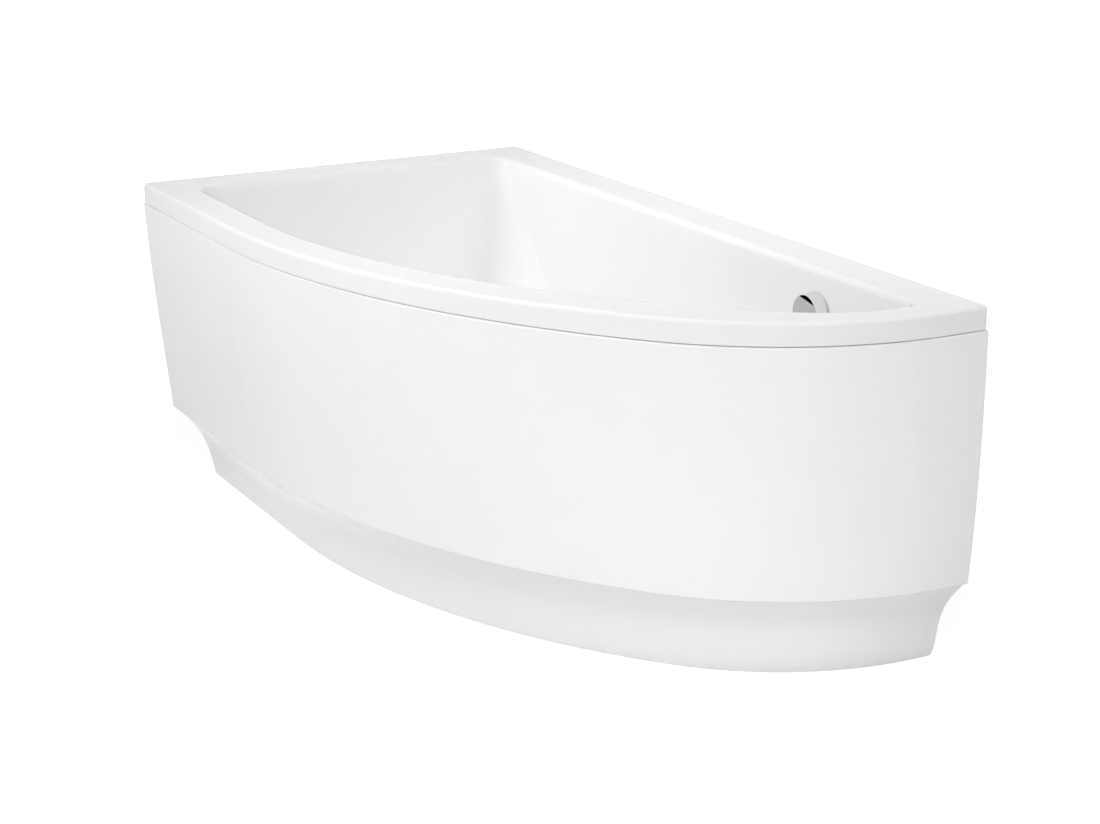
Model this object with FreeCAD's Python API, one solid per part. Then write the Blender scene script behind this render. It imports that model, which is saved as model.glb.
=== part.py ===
import FreeCAD, Part
import math
import os

# A corner bath for a left-hand corner: an acrylic shell on a steel cradle, with a moulded front
# panel, an overflow with a turning knob, a pop-up plug and a trap.
# Frame: +X along the long wall, towards the narrow end; +Y towards the long wall; +Z up; the
# origin is on the floor, in the middle of the bath's rectangle. Millimetres.

V = FreeCAD.Vector
X_AXIS = V(1, 0, 0)
Y_AXIS = V(0, 1, 0)
Z_AXIS = V(0, 0, 1)

# ---- driving dimensions ----------------------------------------------------------------------
# overall
LENGTH = 1500.0
WIDTH = 800.0
HEIGHT = 600.0

# plan of the front: a straight run, a large arc, a small arc, and a short straight run at the end
FRONT_RUN = 425.0
RIM_TURN = 40.0
RIM_END_RUN = 65.0

# shell
SKIN = 5.0
APRON = 37.0
RIM_ROUND = 7.0
RIM_CORNER = 8.0
RIM_SETBACK = 2.0
RIM_INNER_CORNER = 1.0
DECK_LEFT = 100.0
DECK_BACK = 89.0
DECK_FRONT = 74.0
DECK_RIGHT = 60.0
DECK_ROUND = 10.0
BASIN_DEPTH = 420.0
SLOPE_LEFT = 31.0
SLOPE_BACK = 3.0
SLOPE_FRONT = 6.0
SLOPE_RIGHT = 17.0
MOUTH_TURN = 50.0
FLOOR_TURN = 36.0
BASIN_TOP_RADII = (40.0, 22.0, 25.0)
BASIN_FLOOR_RADII = (150.0, 140.0, 110.0)
BASIN_END_RUN = 5.0
BASIN_ARC_SHIFT = 100.0
FLOOR_ROUND = 62.0
MOUTH_STEPS = (0.0, 0.08, 0.3, 0.6, 1.0)
TURN_STEPS = (0.0, 0.3, 0.6, 0.85, 1.0)

# boards
BOARD = 15.0
BOARD_MARGIN = 6.0
BOARD_HOLE_RADIUS = 52.0
BATTEN_OUT = 12.0
BATTEN_WIDTH = 30.0
BATTEN_HEIGHT = 20.0
BATTEN_END_GAP = 12.0

# front panel. Each level of the face and of the cove is its drop under the panel's top or the step,
# how far it is set in at the front and at the narrow end, and the straight run at the narrow end
PANEL_WALL = 4.0
PANEL_SEAM = 1.5
PANEL_FLANGE = 28.0
PANEL_LIP_ROUND = 4.0
PANEL_TOP_ROUND = 3.0
STEP_HEIGHT = 150.0
FACE_LEVELS = (
    (0.0, 0.0, 0.5, 65.0),
    (130.0, 9.0, 0.2, 50.0),
    (270.0, 22.5, 3.7, 30.0),
    (410.0, 38.0, 14.0, 15.0),
)
COVE_LEVELS = (
    (0.0, 44.0, 21.0),
    (25.0, 66.0, 43.0),
    (55.0, 88.0, 65.0),
    (90.0, 104.0, 78.0),
    (150.0, 119.0, 95.0),
)
COVE_END_RUN = 15.0
HOLLOW_REACH = 20.0

# cradle
BAR = 40.0
BAR_WALL = 2.0
BAR_LEFT_X = -330.0
BAR_RIGHT_X = 230.0
BAR_END_BACK = 300.0
BAR_END_FRONT_LEFT = -245.0
BAR_END_FRONT_RIGHT = -108.0
BAR_SCREW_PITCH = 75.0
BAR_SCREW_COUNT = 3
SCREW_RADIUS = 2.2
SCREW_HEAD_RADIUS = 4.5
SCREW_HEAD = 3.0
SCREW_HEAD_TAPER = 1.0
SCREW_GRIP = 14.0
SCREW_ACCESS_RADIUS = 6.0
CAP_FLANGE = 3.0
CAP_PLUG = 12.0
CAP_WALL = 2.0

# levelling feet
ROD_RADIUS = 6.0
ROD_RUNNING_GAP = 0.08
ROD_HOLE_GAP = 0.5
ROD_CHAMFER = 1.2
ROD_TOP_ABOVE_BAR_BOTTOM = 20.0
FOOT_FROM_BAR_END = 34.0
NUT_HEIGHT = 12.0
LOCK_NUT_HEIGHT = 8.0
NUT_ACROSS_FLATS = 19.0
PAD_RADIUS = 26.0
PAD_TOP_RADIUS = 13.0
PAD_RIM = 5.0
PAD_CONE_RADIUS = 16.0
PAD_CONE_TOP = 11.0
PAD_COLLAR_LOW = 14.0
PAD_HEIGHT = 24.0
PAD_FLOOR = 6.0

# wall hangers
HANGER_WIDTH = 40.0
HANGER_PLATE = 2.0
HANGER_DROP = 50.0
HANGER_HOLE_RADIUS = 3.5
HANGER_HOLE_DROP = 28.0
HANGER_TONGUE = 24.0
HANGER_BACK_SPACING = 900.0
HANGER_LEFT_SPACING = 400.0
SEAT_GAP = 0.3

# panel clips
CLIP_PLATE = 1.5
CLIP_WIDTH = 30.0
CLIP_TAB = 22.0
CLIP_LIP = 14.0
CLIP_BACK = 2.0
CLIP_STATIONS = (0.12, 0.38, 0.62, 0.88)
CLIP_SCREW_RADIUS = 1.9
CLIP_SCREW_HEAD_RADIUS = 3.6
CLIP_SCREW_HEAD = 2.2
CLIP_SCREW_HEAD_ROUND = 1.0
CLIP_SCREW_GRIP = 15.0
FLOOR_SCREW_RADIUS = 2.6
FLOOR_SCREW_FROM_LEG = 13.0

# overflow
OVERFLOW_X = 440.0
OVERFLOW_Z = 528.0
PAD_FACE_SETBACK = 90.0
PAD_FACE_RADIUS = 37.0
PAD_FACE_REACH = 60.0
HOLE_RADIUS = 26.0
KNOB_RADIUS = 34.0
KNOB_PROUD = 25.0
KNOB_WALL = 1.6
KNOB_ROUND = 1.5
KNOB_CHORD = 24.8
KNOB_RECESS = 15.0
KNOB_TILT = -11.0
KNOB_HUB_RADIUS = 9.0
ROSETTE_RADIUS = 31.0
ROSETTE_THICK = 4.0
SLEEVE_RADIUS = 24.0
SLEEVE_WALL = 3.0
SLEEVE_LENGTH = 26.0
ROSETTE_HUB_RADIUS = 8.0
ROSETTE_SPOKE = 5.0
SPOKE_BITE = 1.0
SPINDLE_RADIUS = 4.0
SPINDLE_RUNNING_GAP = 0.05
RUBBER = 3.0
RUBBER_RADIUS = 38.0
BODY_FLANGE = 5.0
BODY_RADIUS = 30.0
BODY_DEPTH = 52.0
BODY_WALL = 3.0
THREAD_GAP = 0.1
CABLE_WHEEL_RADIUS = 9.0
CABLE_WHEEL_THICK = 6.0
CABLE_WHEEL_BACK = 2.0
CABLE_GROOVE = 1.5
CABLE_END_RADIUS = 1.2
GLAND_RADIUS = 6.0
GLAND_BORE = 3.5
GLAND_LENGTH = 14.0
GLAND_OFFSET = -22.0

# pipes
PIPE_RADIUS = 20.0
PIPE_WALL = 2.0
SOCKET_WALL = 3.5
SOCKET_DEPTH = 22.0
BODY_SPIGOT_DROP = 52.0
PIPE_BEHIND_FLANGE = 3.5
TELESCOPE_TOP = 330.0
TELESCOPE_OVERLAP = 60.0
LOWER_PIPE_WALL = 2.9
LOWER_PIPE_NECK = 8.0
NUT_WALL = 4.0
NUT_LIP = 3.0
NUT_LENGTH = 16.0
RIBS = 12
RIB_RADIUS = 1.6

# waste
WASTE_Y = 110.0
DISH_RADIUS = 54.0
DISH_DEPTH = 3.0
FLANGE_RADIUS = 36.0
DISH_MARGIN = 2.0
FLANGE_THICK = 3.0
FLANGE_EDGE = 1.0
FLANGE_BEVEL = 3.0
FLANGE_TUBE_RADIUS = 24.5
FLANGE_TUBE_WALL = 2.0
FLANGE_TUBE_LENGTH = 26.0
WASTE_BODY_RADIUS = 29.0
WASTE_BODY_BOTTOM = 104.0
SPIGOT_RADIUS = 22.0
INLET_LENGTH = 34.0
GUIDE_RADIUS = 6.5
GUIDE_HEIGHT = 7.0
GUIDE_SPOKE = 3.0
PLUG_RADIUS = 30.0
PLUG_THICK = 3.0
PLUG_DOME = 3.5
PLUG_STEM_RADIUS = 3.0
PLUG_STEM_GAP = 0.08
PLUG_NOSE = 2.0
PLUG_NOSE_RADIUS = 1.0
PLUG_SEAL_OUT = 29.0
PLUG_SEAL_IN = 24.0
PLUG_SEAL_THICK = 2.0
LEVER_ARM = 12.0
LEVER_ANGLE = 24.5
LEVER_TIP_RADIUS = 2.5
LEVER_THICK = 3.0
LEVER_WIDTH = 8.0
LEVER_HUB_RADIUS = 4.0
LEVER_PIVOT_Z = 133.0
CRANK_ARM = 13.5
CRANK_ANGLE = 85.0
CRANK_EYE_RADIUS = 2.5
LEVER_PIN_RADIUS = 1.5
LEVER_PIN_GAP = 0.05
LEVER_PIN_BITE = 3.0
ELBOW_Z = 124.0
ELBOW_BEND = 34.0
ELBOW_COLLAR = 4.0

# trap
TRAP_CUP_RADIUS = 42.0
TRAP_CUP_BOTTOM = 12.0
TRAP_CUP_TOP = 34.0
TRAP_CUP_BEVEL = 8.0
TRAP_WALL = 3.0
TRAP_SKIRT_LOW = 22.0
TRAP_LID_LOW = 72.0
TRAP_HEAD_TOP = 88.0
TRAP_SOCKET = 10.0
TRAP_UNION_GRIP = 12.0
TRAP_OUTLET_Z = 54.0
TRAP_OUTLET_RADIUS = 17.0
TRAP_SPIGOT = 40.0
DIP_TUBE_RADIUS = 17.0
DIP_TUBE_WALL = 2.0
DIP_TUBE_END = 24.0
OUTLET_COLLAR = 3.0
OUTLET_COLLAR_WIDTH = 4.0
OUTLET_NUT_GRIP = 14.0
OUTLET_END_Y = 388.0
OUTLET_SPIGOT = 45.0
STOP_BEAD = 2.0
STOP_BEAD_WIDTH = 4.0

# ---- worked-out places -----------------------------------------------------------------------
LEFT = -LENGTH / 2
RIGHT = LENGTH / 2
FRONT = -WIDTH / 2
BACK = WIDTH / 2
ARC_START = LEFT + FRONT_RUN
APRON_BOTTOM = HEIGHT - APRON
DECK_UNDER = HEIGHT - SKIN
PANEL_TOP = APRON_BOTTOM - PANEL_SEAM
BASIN_FLOOR = HEIGHT - BASIN_DEPTH
SHELL_UNDER = BASIN_FLOOR - SKIN
BOARD_UNDER = SHELL_UNDER - BOARD
BAR_BOTTOM = BOARD_UNDER - BAR
PAD_FACE_Y = BACK - PAD_FACE_SETBACK
SHELL_BACK_Y = PAD_FACE_Y + SKIN
WASTE_X = OVERFLOW_X
BAR_ENDS = ((BAR_LEFT_X, BAR_END_FRONT_LEFT), (BAR_RIGHT_X, BAR_END_FRONT_RIGHT))
WASTE_DISH_FLOOR = BASIN_FLOOR - DISH_DEPTH


# ---- small solids ----------------------------------------------------------------------------
def box(x, y, z):
    """A box between three (low, high) pairs."""
    return Part.makeBox(x[1] - x[0], y[1] - y[0], z[1] - z[0], V(x[0], y[0], z[0]))


def rod(radius, start, end):
    """A round bar between two points."""
    return Part.makeCylinder(radius, (end - start).Length, start, end - start)


def tube(outer, inner, start, end):
    """A round tube between two points."""
    return rod(outer, start, end).cut(rod(inner, start, end))


def up(x, y, low, high):
    """The two ends of an upright line."""
    return V(x, y, low), V(x, y, high)


def deep(x, z, low, high):
    """The two ends of a line along Y."""
    return V(x, low, z), V(x, high, z)


def fuse(shapes):
    """One solid out of shapes that touch."""
    joined = shapes[0].fuse(shapes[1:])
    return joined.removeSplitter()


def revolved(points, centre, axis):
    """A solid turned from a closed (radius, height) outline about an axis through centre."""
    radial = X_AXIS if abs(axis.dot(X_AXIS)) < 0.5 else Y_AXIS
    corners = [centre + radial * r + axis * h for r, h in points]
    face = Part.Face(Part.makePolygon(corners + corners[:1]))
    return face.revolve(centre, axis, 360)


def hex_nut(x, y, low, height, bore):
    """A six-sided nut with a plain bore."""
    corner = NUT_ACROSS_FLATS / 2 / math.cos(math.pi / 6)
    angles = [math.radians(60 * i) for i in range(7)]
    outline = [V(x + corner * math.cos(a), y + corner * math.sin(a), low) for a in angles]
    body = Part.Face(Part.makePolygon(outline)).extrude(Z_AXIS * height)
    return body.cut(rod(bore, *up(x, y, low, low + height)))


def ribbed_nut(outer, bore, lip_bore, start, end):
    """A hand nut: a ribbed ring whose far end has an inward lip."""
    axis = (end - start).normalize()
    side = Y_AXIS if abs(axis.dot(X_AXIS)) > 0.5 else X_AXIS
    other = axis.cross(side)
    ring = rod(outer, start, end).cut(rod(bore, start, end - axis * NUT_LIP)).cut(rod(lip_bore, start, end))
    ribs = []
    for i in range(RIBS):
        angle = 2 * math.pi * i / RIBS
        offset = side * (outer * math.cos(angle)) + other * (outer * math.sin(angle))
        ribs.append(rod(RIB_RADIUS, start + offset, end + offset))
    hollow = rod(bore, start, end - axis * NUT_LIP)
    return fuse([ring] + ribs).cut(hollow)


# ---- plan outlines ---------------------------------------------------------------------------
def arc_radii(x_start, x_right, y_front, y_end, turn):
    """Radii of the large and the small front arc, which turn by `turn` and then up to 90 degrees
    and join the front line to the end line with no kink."""
    s, c = math.sin(turn), math.cos(turn)
    across, along = x_right - x_start, y_end - y_front
    share = s + c - 1
    large = (across * c - (1 - s) * along) / share
    small = (s * along - (1 - c) * across) / share
    return large, small


def arc_edge(centre, radius, start, end):
    """An arc about centre from one angle to another, measured from the -Y direction towards +X."""
    angles = (start, (start + end) / 2, end)
    points = [centre + V(radius * math.sin(a), -radius * math.cos(a), 0) for a in angles]
    return Part.Arc(*points).toShape(), points[-1]


def front_edges(x_left, x_right, y_front, y_back, end_run, turn, z, x_start=ARC_START):
    """The front line, the two arcs and the end line, and the line's two end points."""
    t = math.radians(turn)
    large, small = arc_radii(x_start, x_right, y_front, y_back - end_run, t)
    first = V(x_left, y_front, z)
    bend = V(x_start, y_front, z)
    arc_a, joint = arc_edge(bend + Y_AXIS * large, large, 0, t)
    centre = joint + V(-small * math.sin(t), small * math.cos(t), 0)
    arc_b, last_bend = arc_edge(centre, small, t, math.pi / 2)
    last = V(x_right, y_back, z)
    edges = [Part.makeLine(first, bend), arc_a, arc_b, Part.makeLine(last_bend, last)]
    return edges, first, last


def closed_outline(x_left, x_right, y_front, y_back, end_run, turn, z, radii=(0, 0, 0), x_start=ARC_START):
    """A whole plan outline. radii are those of the front-left, back-left and back-right corners,
    and x_start is where the large arc starts."""
    front_left, back_left, back_right = radii
    left_start = x_left + front_left
    y_last = y_back - back_right
    edges, first, last = front_edges(left_start, x_right, y_front, y_last, end_run, turn, z, x_start)
    if back_right:
        arc, last = arc_edge(last - X_AXIS * back_right, back_right, math.pi / 2, math.pi)
        edges.append(arc)
    corner = V(x_left + back_left, y_back, z)
    edges.append(Part.makeLine(last, corner))
    if back_left:
        arc, corner = arc_edge(corner - Y_AXIS * back_left, back_left, math.pi, 1.5 * math.pi)
        edges.append(arc)
    low = V(x_left, y_front + front_left, z)
    edges.append(Part.makeLine(corner, low))
    if front_left:
        arc, first = arc_edge(low + X_AXIS * front_left, front_left, 1.5 * math.pi, 2 * math.pi)
        edges.append(arc)
    return Part.Wire(Part.__sortEdges__(edges))


def rim_outline(inset, z, radii=(0, 0, 0), end_run=RIM_END_RUN):
    """The rim's plan, set in by the same amount all round."""
    return closed_outline(LEFT + inset, RIGHT - RIM_SETBACK - inset, FRONT + inset, BACK - inset,
                          end_run, RIM_TURN, z, radii)


def slab(wire, height):
    """A plate of the given height on a plan outline."""
    return Part.Face(wire).extrude(Z_AXIS * height)


# ---- shell -----------------------------------------------------------------------------------
def turn_radius(angle, grow):
    """Radius of the turn from a wall into the floor, so that every turn starts at one height."""
    return (FLOOR_ROUND + grow) / (1 - math.sin(angle))


def wall_inset(slope, depth, grow):
    """How far a wall stands in from the deck's edge at a depth: a straight slope that ends in a
    round turn into the floor, moved out by `grow` normal to the slope."""
    angle = math.radians(slope)
    straight = BASIN_DEPTH - FLOOR_ROUND
    inset = min(depth, straight) * math.tan(angle) - grow / math.cos(angle)
    if depth > straight:
        radius = turn_radius(angle, grow)
        steep = min(math.sin(angle) + (depth - straight) / radius, 1.0)
        inset += radius * (math.cos(angle) - math.sqrt(1 - steep ** 2))
    return inset


def mouth_flare(depth, grow):
    """How far the rounded edge of the deck opens the basin near its top. The skin's outside turns
    about the same centre, with a radius that is smaller by the skin's thickness."""
    radius = DECK_ROUND - grow
    rise = min(max(DECK_ROUND - depth, 0.0), radius)
    return radius - math.sqrt(radius ** 2 - rise ** 2)


def basin_outline(depth, grow):
    """The basin's plan at a depth under the deck."""
    share = min(depth / BASIN_DEPTH, 1.0)
    flare = mouth_flare(depth, grow)
    turned = max(depth - BASIN_DEPTH + FLOOR_ROUND, 0.0)
    radii = [top + (floor - top) * share + grow + flare - turned
             for top, floor in zip(BASIN_TOP_RADII, BASIN_FLOOR_RADII)]
    turn = MOUTH_TURN + (FLOOR_TURN - MOUTH_TURN) * share
    return closed_outline(LEFT + DECK_LEFT + wall_inset(SLOPE_LEFT, depth, grow) - flare,
                          RIGHT - RIM_SETBACK - DECK_RIGHT - wall_inset(SLOPE_RIGHT, depth, grow) + flare,
                          FRONT + DECK_FRONT + wall_inset(SLOPE_FRONT, depth, grow) - flare,
                          BACK - DECK_BACK - wall_inset(SLOPE_BACK, depth, grow) + flare,
                          BASIN_END_RUN, turn, HEIGHT - depth, radii, ARC_START + BASIN_ARC_SHIFT * share)


def dish(grow):
    """The shallow dish round the waste, which drains the floor."""
    return Part.makeCone(FLANGE_RADIUS + DISH_MARGIN + grow, DISH_RADIUS + grow, DISH_DEPTH,
                         V(WASTE_X, WASTE_Y, WASTE_DISH_FLOOR - grow), Z_AXIS)


def basin_block(grow):
    """The basin's hollow as a solid: a rounded mouth, sloping walls, and a round turn into the
    floor. Grown by the skin's thickness it is the basin's outside."""
    straight = BASIN_DEPTH - FLOOR_ROUND
    mouth = [basin_outline(grow + (DECK_ROUND - grow) * share, grow) for share in MOUTH_STEPS]
    bottom = [basin_outline(straight + (FLOOR_ROUND + grow) * share, grow) for share in TURN_STEPS]
    wall = Part.makeLoft([mouth[-1], bottom[0]], True, True)
    pad_ends = deep(OVERFLOW_X, OVERFLOW_Z, PAD_FACE_Y - PAD_FACE_REACH, PAD_FACE_Y + grow)
    return wall.fuse([Part.makeLoft(mouth, True, False), Part.makeLoft(bottom, True, False),
                      slab(mouth[0], SKIN / 2), rod(PAD_FACE_RADIUS + grow, *pad_ends), dish(grow)])


def rim_block():
    """The deck and apron as one block, with rounded top edges and upright corners."""
    outer_corners = (RIM_CORNER, RIM_CORNER, RIM_CORNER)
    block = slab(rim_outline(0, APRON_BOTTOM, outer_corners, RIM_END_RUN - RIM_CORNER), APRON)
    top = [e for e in block.Edges if e.BoundBox.ZMin > HEIGHT - 0.01]
    block = block.makeFillet(RIM_ROUND, top)
    inner_corners = (RIM_INNER_CORNER, RIM_INNER_CORNER, RIM_INNER_CORNER)
    inner = rim_outline(SKIN, APRON_BOTTOM - SKIN, inner_corners, RIM_END_RUN - RIM_INNER_CORNER)
    return block.cut(slab(inner, APRON))


def tub_shell():
    """The acrylic shell: rim, basin, and the holes for overflow and waste."""
    shell = rim_block().fuse(basin_block(SKIN)).cut(basin_block(0))
    overflow = rod(HOLE_RADIUS, *deep(OVERFLOW_X, OVERFLOW_Z, PAD_FACE_Y - SKIN, PAD_FACE_Y + 2 * SKIN))
    waste = rod(HOLE_RADIUS, *up(WASTE_X, WASTE_Y, WASTE_DISH_FLOOR - 2 * SKIN, BASIN_FLOOR))
    return shell.cut(overflow).cut(waste)


def base_board():
    """The board bonded under the basin floor, hollowed under the dish, with a hole for the waste."""
    outline = basin_outline(BASIN_DEPTH, 0)
    outline.translate(V(0, 0, BOARD_UNDER - BASIN_FLOOR))
    hole = rod(BOARD_HOLE_RADIUS, *up(WASTE_X, WASTE_Y, BOARD_UNDER, SHELL_UNDER))
    board = slab(outline, BOARD).cut(hole).cut(dish(SKIN))
    for x, front in BAR_ENDS:
        for y in bar_screw_places(front):
            pilot_top = BOARD_UNDER + SCREW_GRIP - BAR_WALL
            board = board.cut(rod(SCREW_RADIUS, *up(x, y, BOARD_UNDER, pilot_top)))
    return board


def strip_outline(inset, z, end_gap):
    """The rim's plan set in at the front, `end_gap` short of both walls."""
    return closed_outline(LEFT + end_gap, RIGHT - RIM_SETBACK - inset, FRONT + inset, BACK - end_gap,
                          RIM_END_RUN - end_gap, RIM_TURN, z)


def rim_batten():
    """The curved strip bonded under the front deck, with pilot holes for the clip screws."""
    low = DECK_UNDER - BATTEN_HEIGHT
    outer = slab(strip_outline(BATTEN_OUT, low, BATTEN_END_GAP), BATTEN_HEIGHT)
    inner = slab(strip_outline(BATTEN_OUT + BATTEN_WIDTH, low, -HOLLOW_REACH), BATTEN_HEIGHT)
    batten = outer.cut(inner)
    for place in clip_places(PANEL_TOP):
        batten = batten.cut(at_station(clip_pilot(), place))
    return batten


# ---- front panel -----------------------------------------------------------------------------
def panel_levels(levels):
    """(height, front inset, end inset, end run, wall angle) of each level, the angle from upright."""
    rows = []
    for i, (z, front, end, run) in enumerate(levels):
        above = levels[max(i - 1, 0)]
        below = levels[min(i + 1, len(levels) - 1)]
        angle = math.atan2(below[1] - above[1], above[0] - below[0])
        rows.append((z, front, end, run, angle))
    return rows


def panel_loft(levels, behind, reach):
    """What lies behind the panel's face, `behind` further in and out to `reach` past the walls."""
    wires = []
    for z, front, end, run, angle in panel_levels(levels):
        inward = behind * math.cos(angle)
        lift = behind * math.sin(angle)
        wires.append(closed_outline(LEFT - reach, RIGHT - end - inward, FRONT + front + inward,
                                    BACK + reach, run + reach, RIM_TURN, z + lift))
    return Part.makeLoft(wires, True, False)


def face_levels(low, high):
    """The leaning face's levels, with its top and bottom moved to the given heights."""
    rows = [(PANEL_TOP - drop, front, end, run) for drop, front, end, run in FACE_LEVELS]
    rows[0] = (high,) + rows[0][1:]
    rows[-1] = (low,) + rows[-1][1:]
    return rows


def cove_levels():
    """The levels of the cove and the plinth under the step."""
    return [(STEP_HEIGHT - drop, front, end, COVE_END_RUN) for drop, front, end in COVE_LEVELS]


def front_panel():
    """The moulded panel: a leaning face, a step, a cove and a plinth, with turned-in edges."""
    face = panel_loft(face_levels(STEP_HEIGHT, PANEL_TOP), 0, 0)
    face = round_face_edges(face)
    outer = face.fuse(panel_loft(cove_levels(), 0, 0))
    inner = panel_hollow(PANEL_WALL)
    room = box((LEFT + PANEL_WALL, RIGHT), (FRONT, BACK - PANEL_WALL), (PANEL_WALL, PANEL_TOP - PANEL_WALL))
    panel = outer.cut(inner.common(room)).cut(panel_hollow(PANEL_FLANGE))
    return panel.removeSplitter()


def round_face_edges(face):
    """Rounds the panel's top edge and the step's edge."""
    for height, radius in ((PANEL_TOP, PANEL_TOP_ROUND), (STEP_HEIGHT, PANEL_LIP_ROUND)):
        face = face.makeFillet(radius, [e for e in face.Edges if is_face_edge(e, height)])
    return face


def is_face_edge(edge, z):
    """True for the front and end edges of the face at height z, not those along the walls."""
    bounds = edge.BoundBox
    if abs(bounds.ZMin - z) > 0.01 or abs(bounds.ZMax - z) > 0.01:
        return False
    return bounds.XMax > LEFT + 1 and bounds.YMin < BACK - 1


def panel_hollow(behind):
    """The space behind the panel, a wall or a flange's width in, running out past both walls, the
    top and the floor."""
    top = PANEL_TOP + HOLLOW_REACH
    face = panel_loft(face_levels(STEP_HEIGHT + PANEL_WALL, top), behind, HOLLOW_REACH)
    levels = cove_levels()
    (z_a, front_a, end_a, run), (z_b, front_b, end_b, _) = levels[-2:]
    share = HOLLOW_REACH / (z_a - z_b)
    front_below = front_b + (front_b - front_a) * share
    end_below = end_b + (end_b - end_a) * share
    below = (z_b - HOLLOW_REACH, front_below, end_below, run)
    return face.fuse(panel_loft(levels + [below], behind, HOLLOW_REACH))


# ---- placing along the front -----------------------------------------------------------------
def front_path(z, front, end, run):
    """The front outline as one open wire, for placing clips along it."""
    edges, _, _ = front_edges(LEFT, RIGHT - end, FRONT + front, BACK, run, RIM_TURN, z)
    return Part.Wire(edges)


def clip_places(z):
    """(point, angle) of each clip along the panel's edge at the top or at the floor."""
    _, front, end, run = FACE_LEVELS[0] if z > STEP_HEIGHT else COVE_LEVELS[-1] + (COVE_END_RUN,)
    path = front_path(z, front, end, run)
    places = []
    for share in CLIP_STATIONS:
        left = share * path.Length
        for edge in path.OrderedEdges:
            if left <= edge.Length:
                break
            left -= edge.Length
        parameter = edge.getParameterByLength(left)
        tangent = edge.tangentAt(parameter)
        places.append((edge.valueAt(parameter), math.degrees(math.atan2(tangent.y, tangent.x))))
    return places


def at_station(shape, place):
    """Puts a shape made at the origin, with +Y inwards, at a place along the front."""
    point, angle = place
    moved = shape.copy()
    moved.rotate(V(0, 0, 0), Z_AXIS, angle)
    moved.translate(point)
    return moved


def strip(points):
    """A strip of sheet metal as wide as a clip, from a (inwards, height) outline."""
    corners = [V(-CLIP_WIDTH / 2, y, z) for y, z in points]
    return Part.Face(Part.makePolygon(corners + corners[:1])).extrude(X_AXIS * CLIP_WIDTH)


def clip_tab_middle():
    """How far in from the panel's edge the top clip's screw stands."""
    return PANEL_FLANGE + CLIP_BACK + CLIP_PLATE - CLIP_TAB / 2


def clip_pilot():
    """The pilot hole of a top clip's screw."""
    low = DECK_UNDER - BATTEN_HEIGHT - PANEL_TOP
    return rod(CLIP_SCREW_RADIUS, *up(0, clip_tab_middle(), low, low + CLIP_SCREW_GRIP))


def top_clip():
    """A spring clip: a tab under the batten, a leg down behind the flange, a lip under it."""
    tab_top = DECK_UNDER - BATTEN_HEIGHT - PANEL_TOP
    leg = PANEL_FLANGE + CLIP_BACK
    lip = -PANEL_WALL
    outline = [(leg + CLIP_PLATE, tab_top), (leg + CLIP_PLATE - CLIP_TAB, tab_top),
               (leg + CLIP_PLATE - CLIP_TAB, tab_top - CLIP_PLATE), (leg, tab_top - CLIP_PLATE),
               (leg, lip), (leg - CLIP_LIP, lip), (leg - CLIP_LIP, lip - CLIP_PLATE),
               (leg + CLIP_PLATE, lip - CLIP_PLATE)]
    hole = rod(CLIP_SCREW_RADIUS, *up(0, clip_tab_middle(), tab_top - CLIP_PLATE, tab_top))
    return strip(outline).cut(hole)


def clip_screw():
    """A pan-head screw through a top clip into the batten."""
    seat = DECK_UNDER - BATTEN_HEIGHT - PANEL_TOP - CLIP_PLATE
    y = clip_tab_middle()
    shank = rod(CLIP_SCREW_RADIUS, *up(0, y, seat, seat + CLIP_SCREW_GRIP))
    head = rod(CLIP_SCREW_HEAD_RADIUS, *up(0, y, seat - CLIP_SCREW_HEAD, seat))
    return shank.fuse(head.makeFillet(CLIP_SCREW_HEAD_ROUND, [head.Edges[2]])).removeSplitter()


def floor_clip():
    """A clip screwed to the floor, whose lip holds down the plinth's bottom flange."""
    leg = PANEL_FLANGE + CLIP_BACK
    top = PANEL_WALL + CLIP_PLATE
    outline = [(leg, 0), (leg + CLIP_TAB, 0), (leg + CLIP_TAB, CLIP_PLATE),
               (leg + CLIP_PLATE, CLIP_PLATE), (leg + CLIP_PLATE, top), (leg - CLIP_LIP, top),
               (leg - CLIP_LIP, PANEL_WALL), (leg, PANEL_WALL)]
    hole = rod(FLOOR_SCREW_RADIUS, *up(0, leg + FLOOR_SCREW_FROM_LEG, 0, CLIP_PLATE))
    return strip(outline).cut(hole)


# ---- cradle and feet -------------------------------------------------------------------------
def bar_screw_places(front):
    """The y of each screw along a bar, centred under the board."""
    middle = (front + BAR_END_BACK) / 2
    return [middle + BAR_SCREW_PITCH * (i - (BAR_SCREW_COUNT - 1) / 2) for i in range(BAR_SCREW_COUNT)]


def foot_places(x, front):
    """The x and y of the front and the back foot of a bar."""
    return (x, front + FOOT_FROM_BAR_END), (x, BAR_END_BACK - FOOT_FROM_BAR_END)


def cradle_bar(x, front):
    """A square tube across the bath, with holes for the feet and for the board screws."""
    half = BAR / 2
    inner = half - BAR_WALL
    bar = box((x - half, x + half), (front, BAR_END_BACK), (BAR_BOTTOM, BOARD_UNDER))
    inside = (BAR_BOTTOM + BAR_WALL, BOARD_UNDER - BAR_WALL)
    bar = bar.cut(box((x - inner, x + inner), (front, BAR_END_BACK), inside))
    for fx, fy in foot_places(x, front):
        bar = bar.cut(rod(ROD_RADIUS + ROD_HOLE_GAP, *up(fx, fy, BAR_BOTTOM, BAR_BOTTOM + BAR_WALL)))
    for y in bar_screw_places(front):
        bar = bar.cut(rod(SCREW_ACCESS_RADIUS, *up(x, y, BAR_BOTTOM, BAR_BOTTOM + BAR_WALL)))
        bar = bar.cut(rod(SCREW_RADIUS, *up(x, y, BOARD_UNDER - BAR_WALL, BOARD_UNDER)))
    return bar


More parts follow.
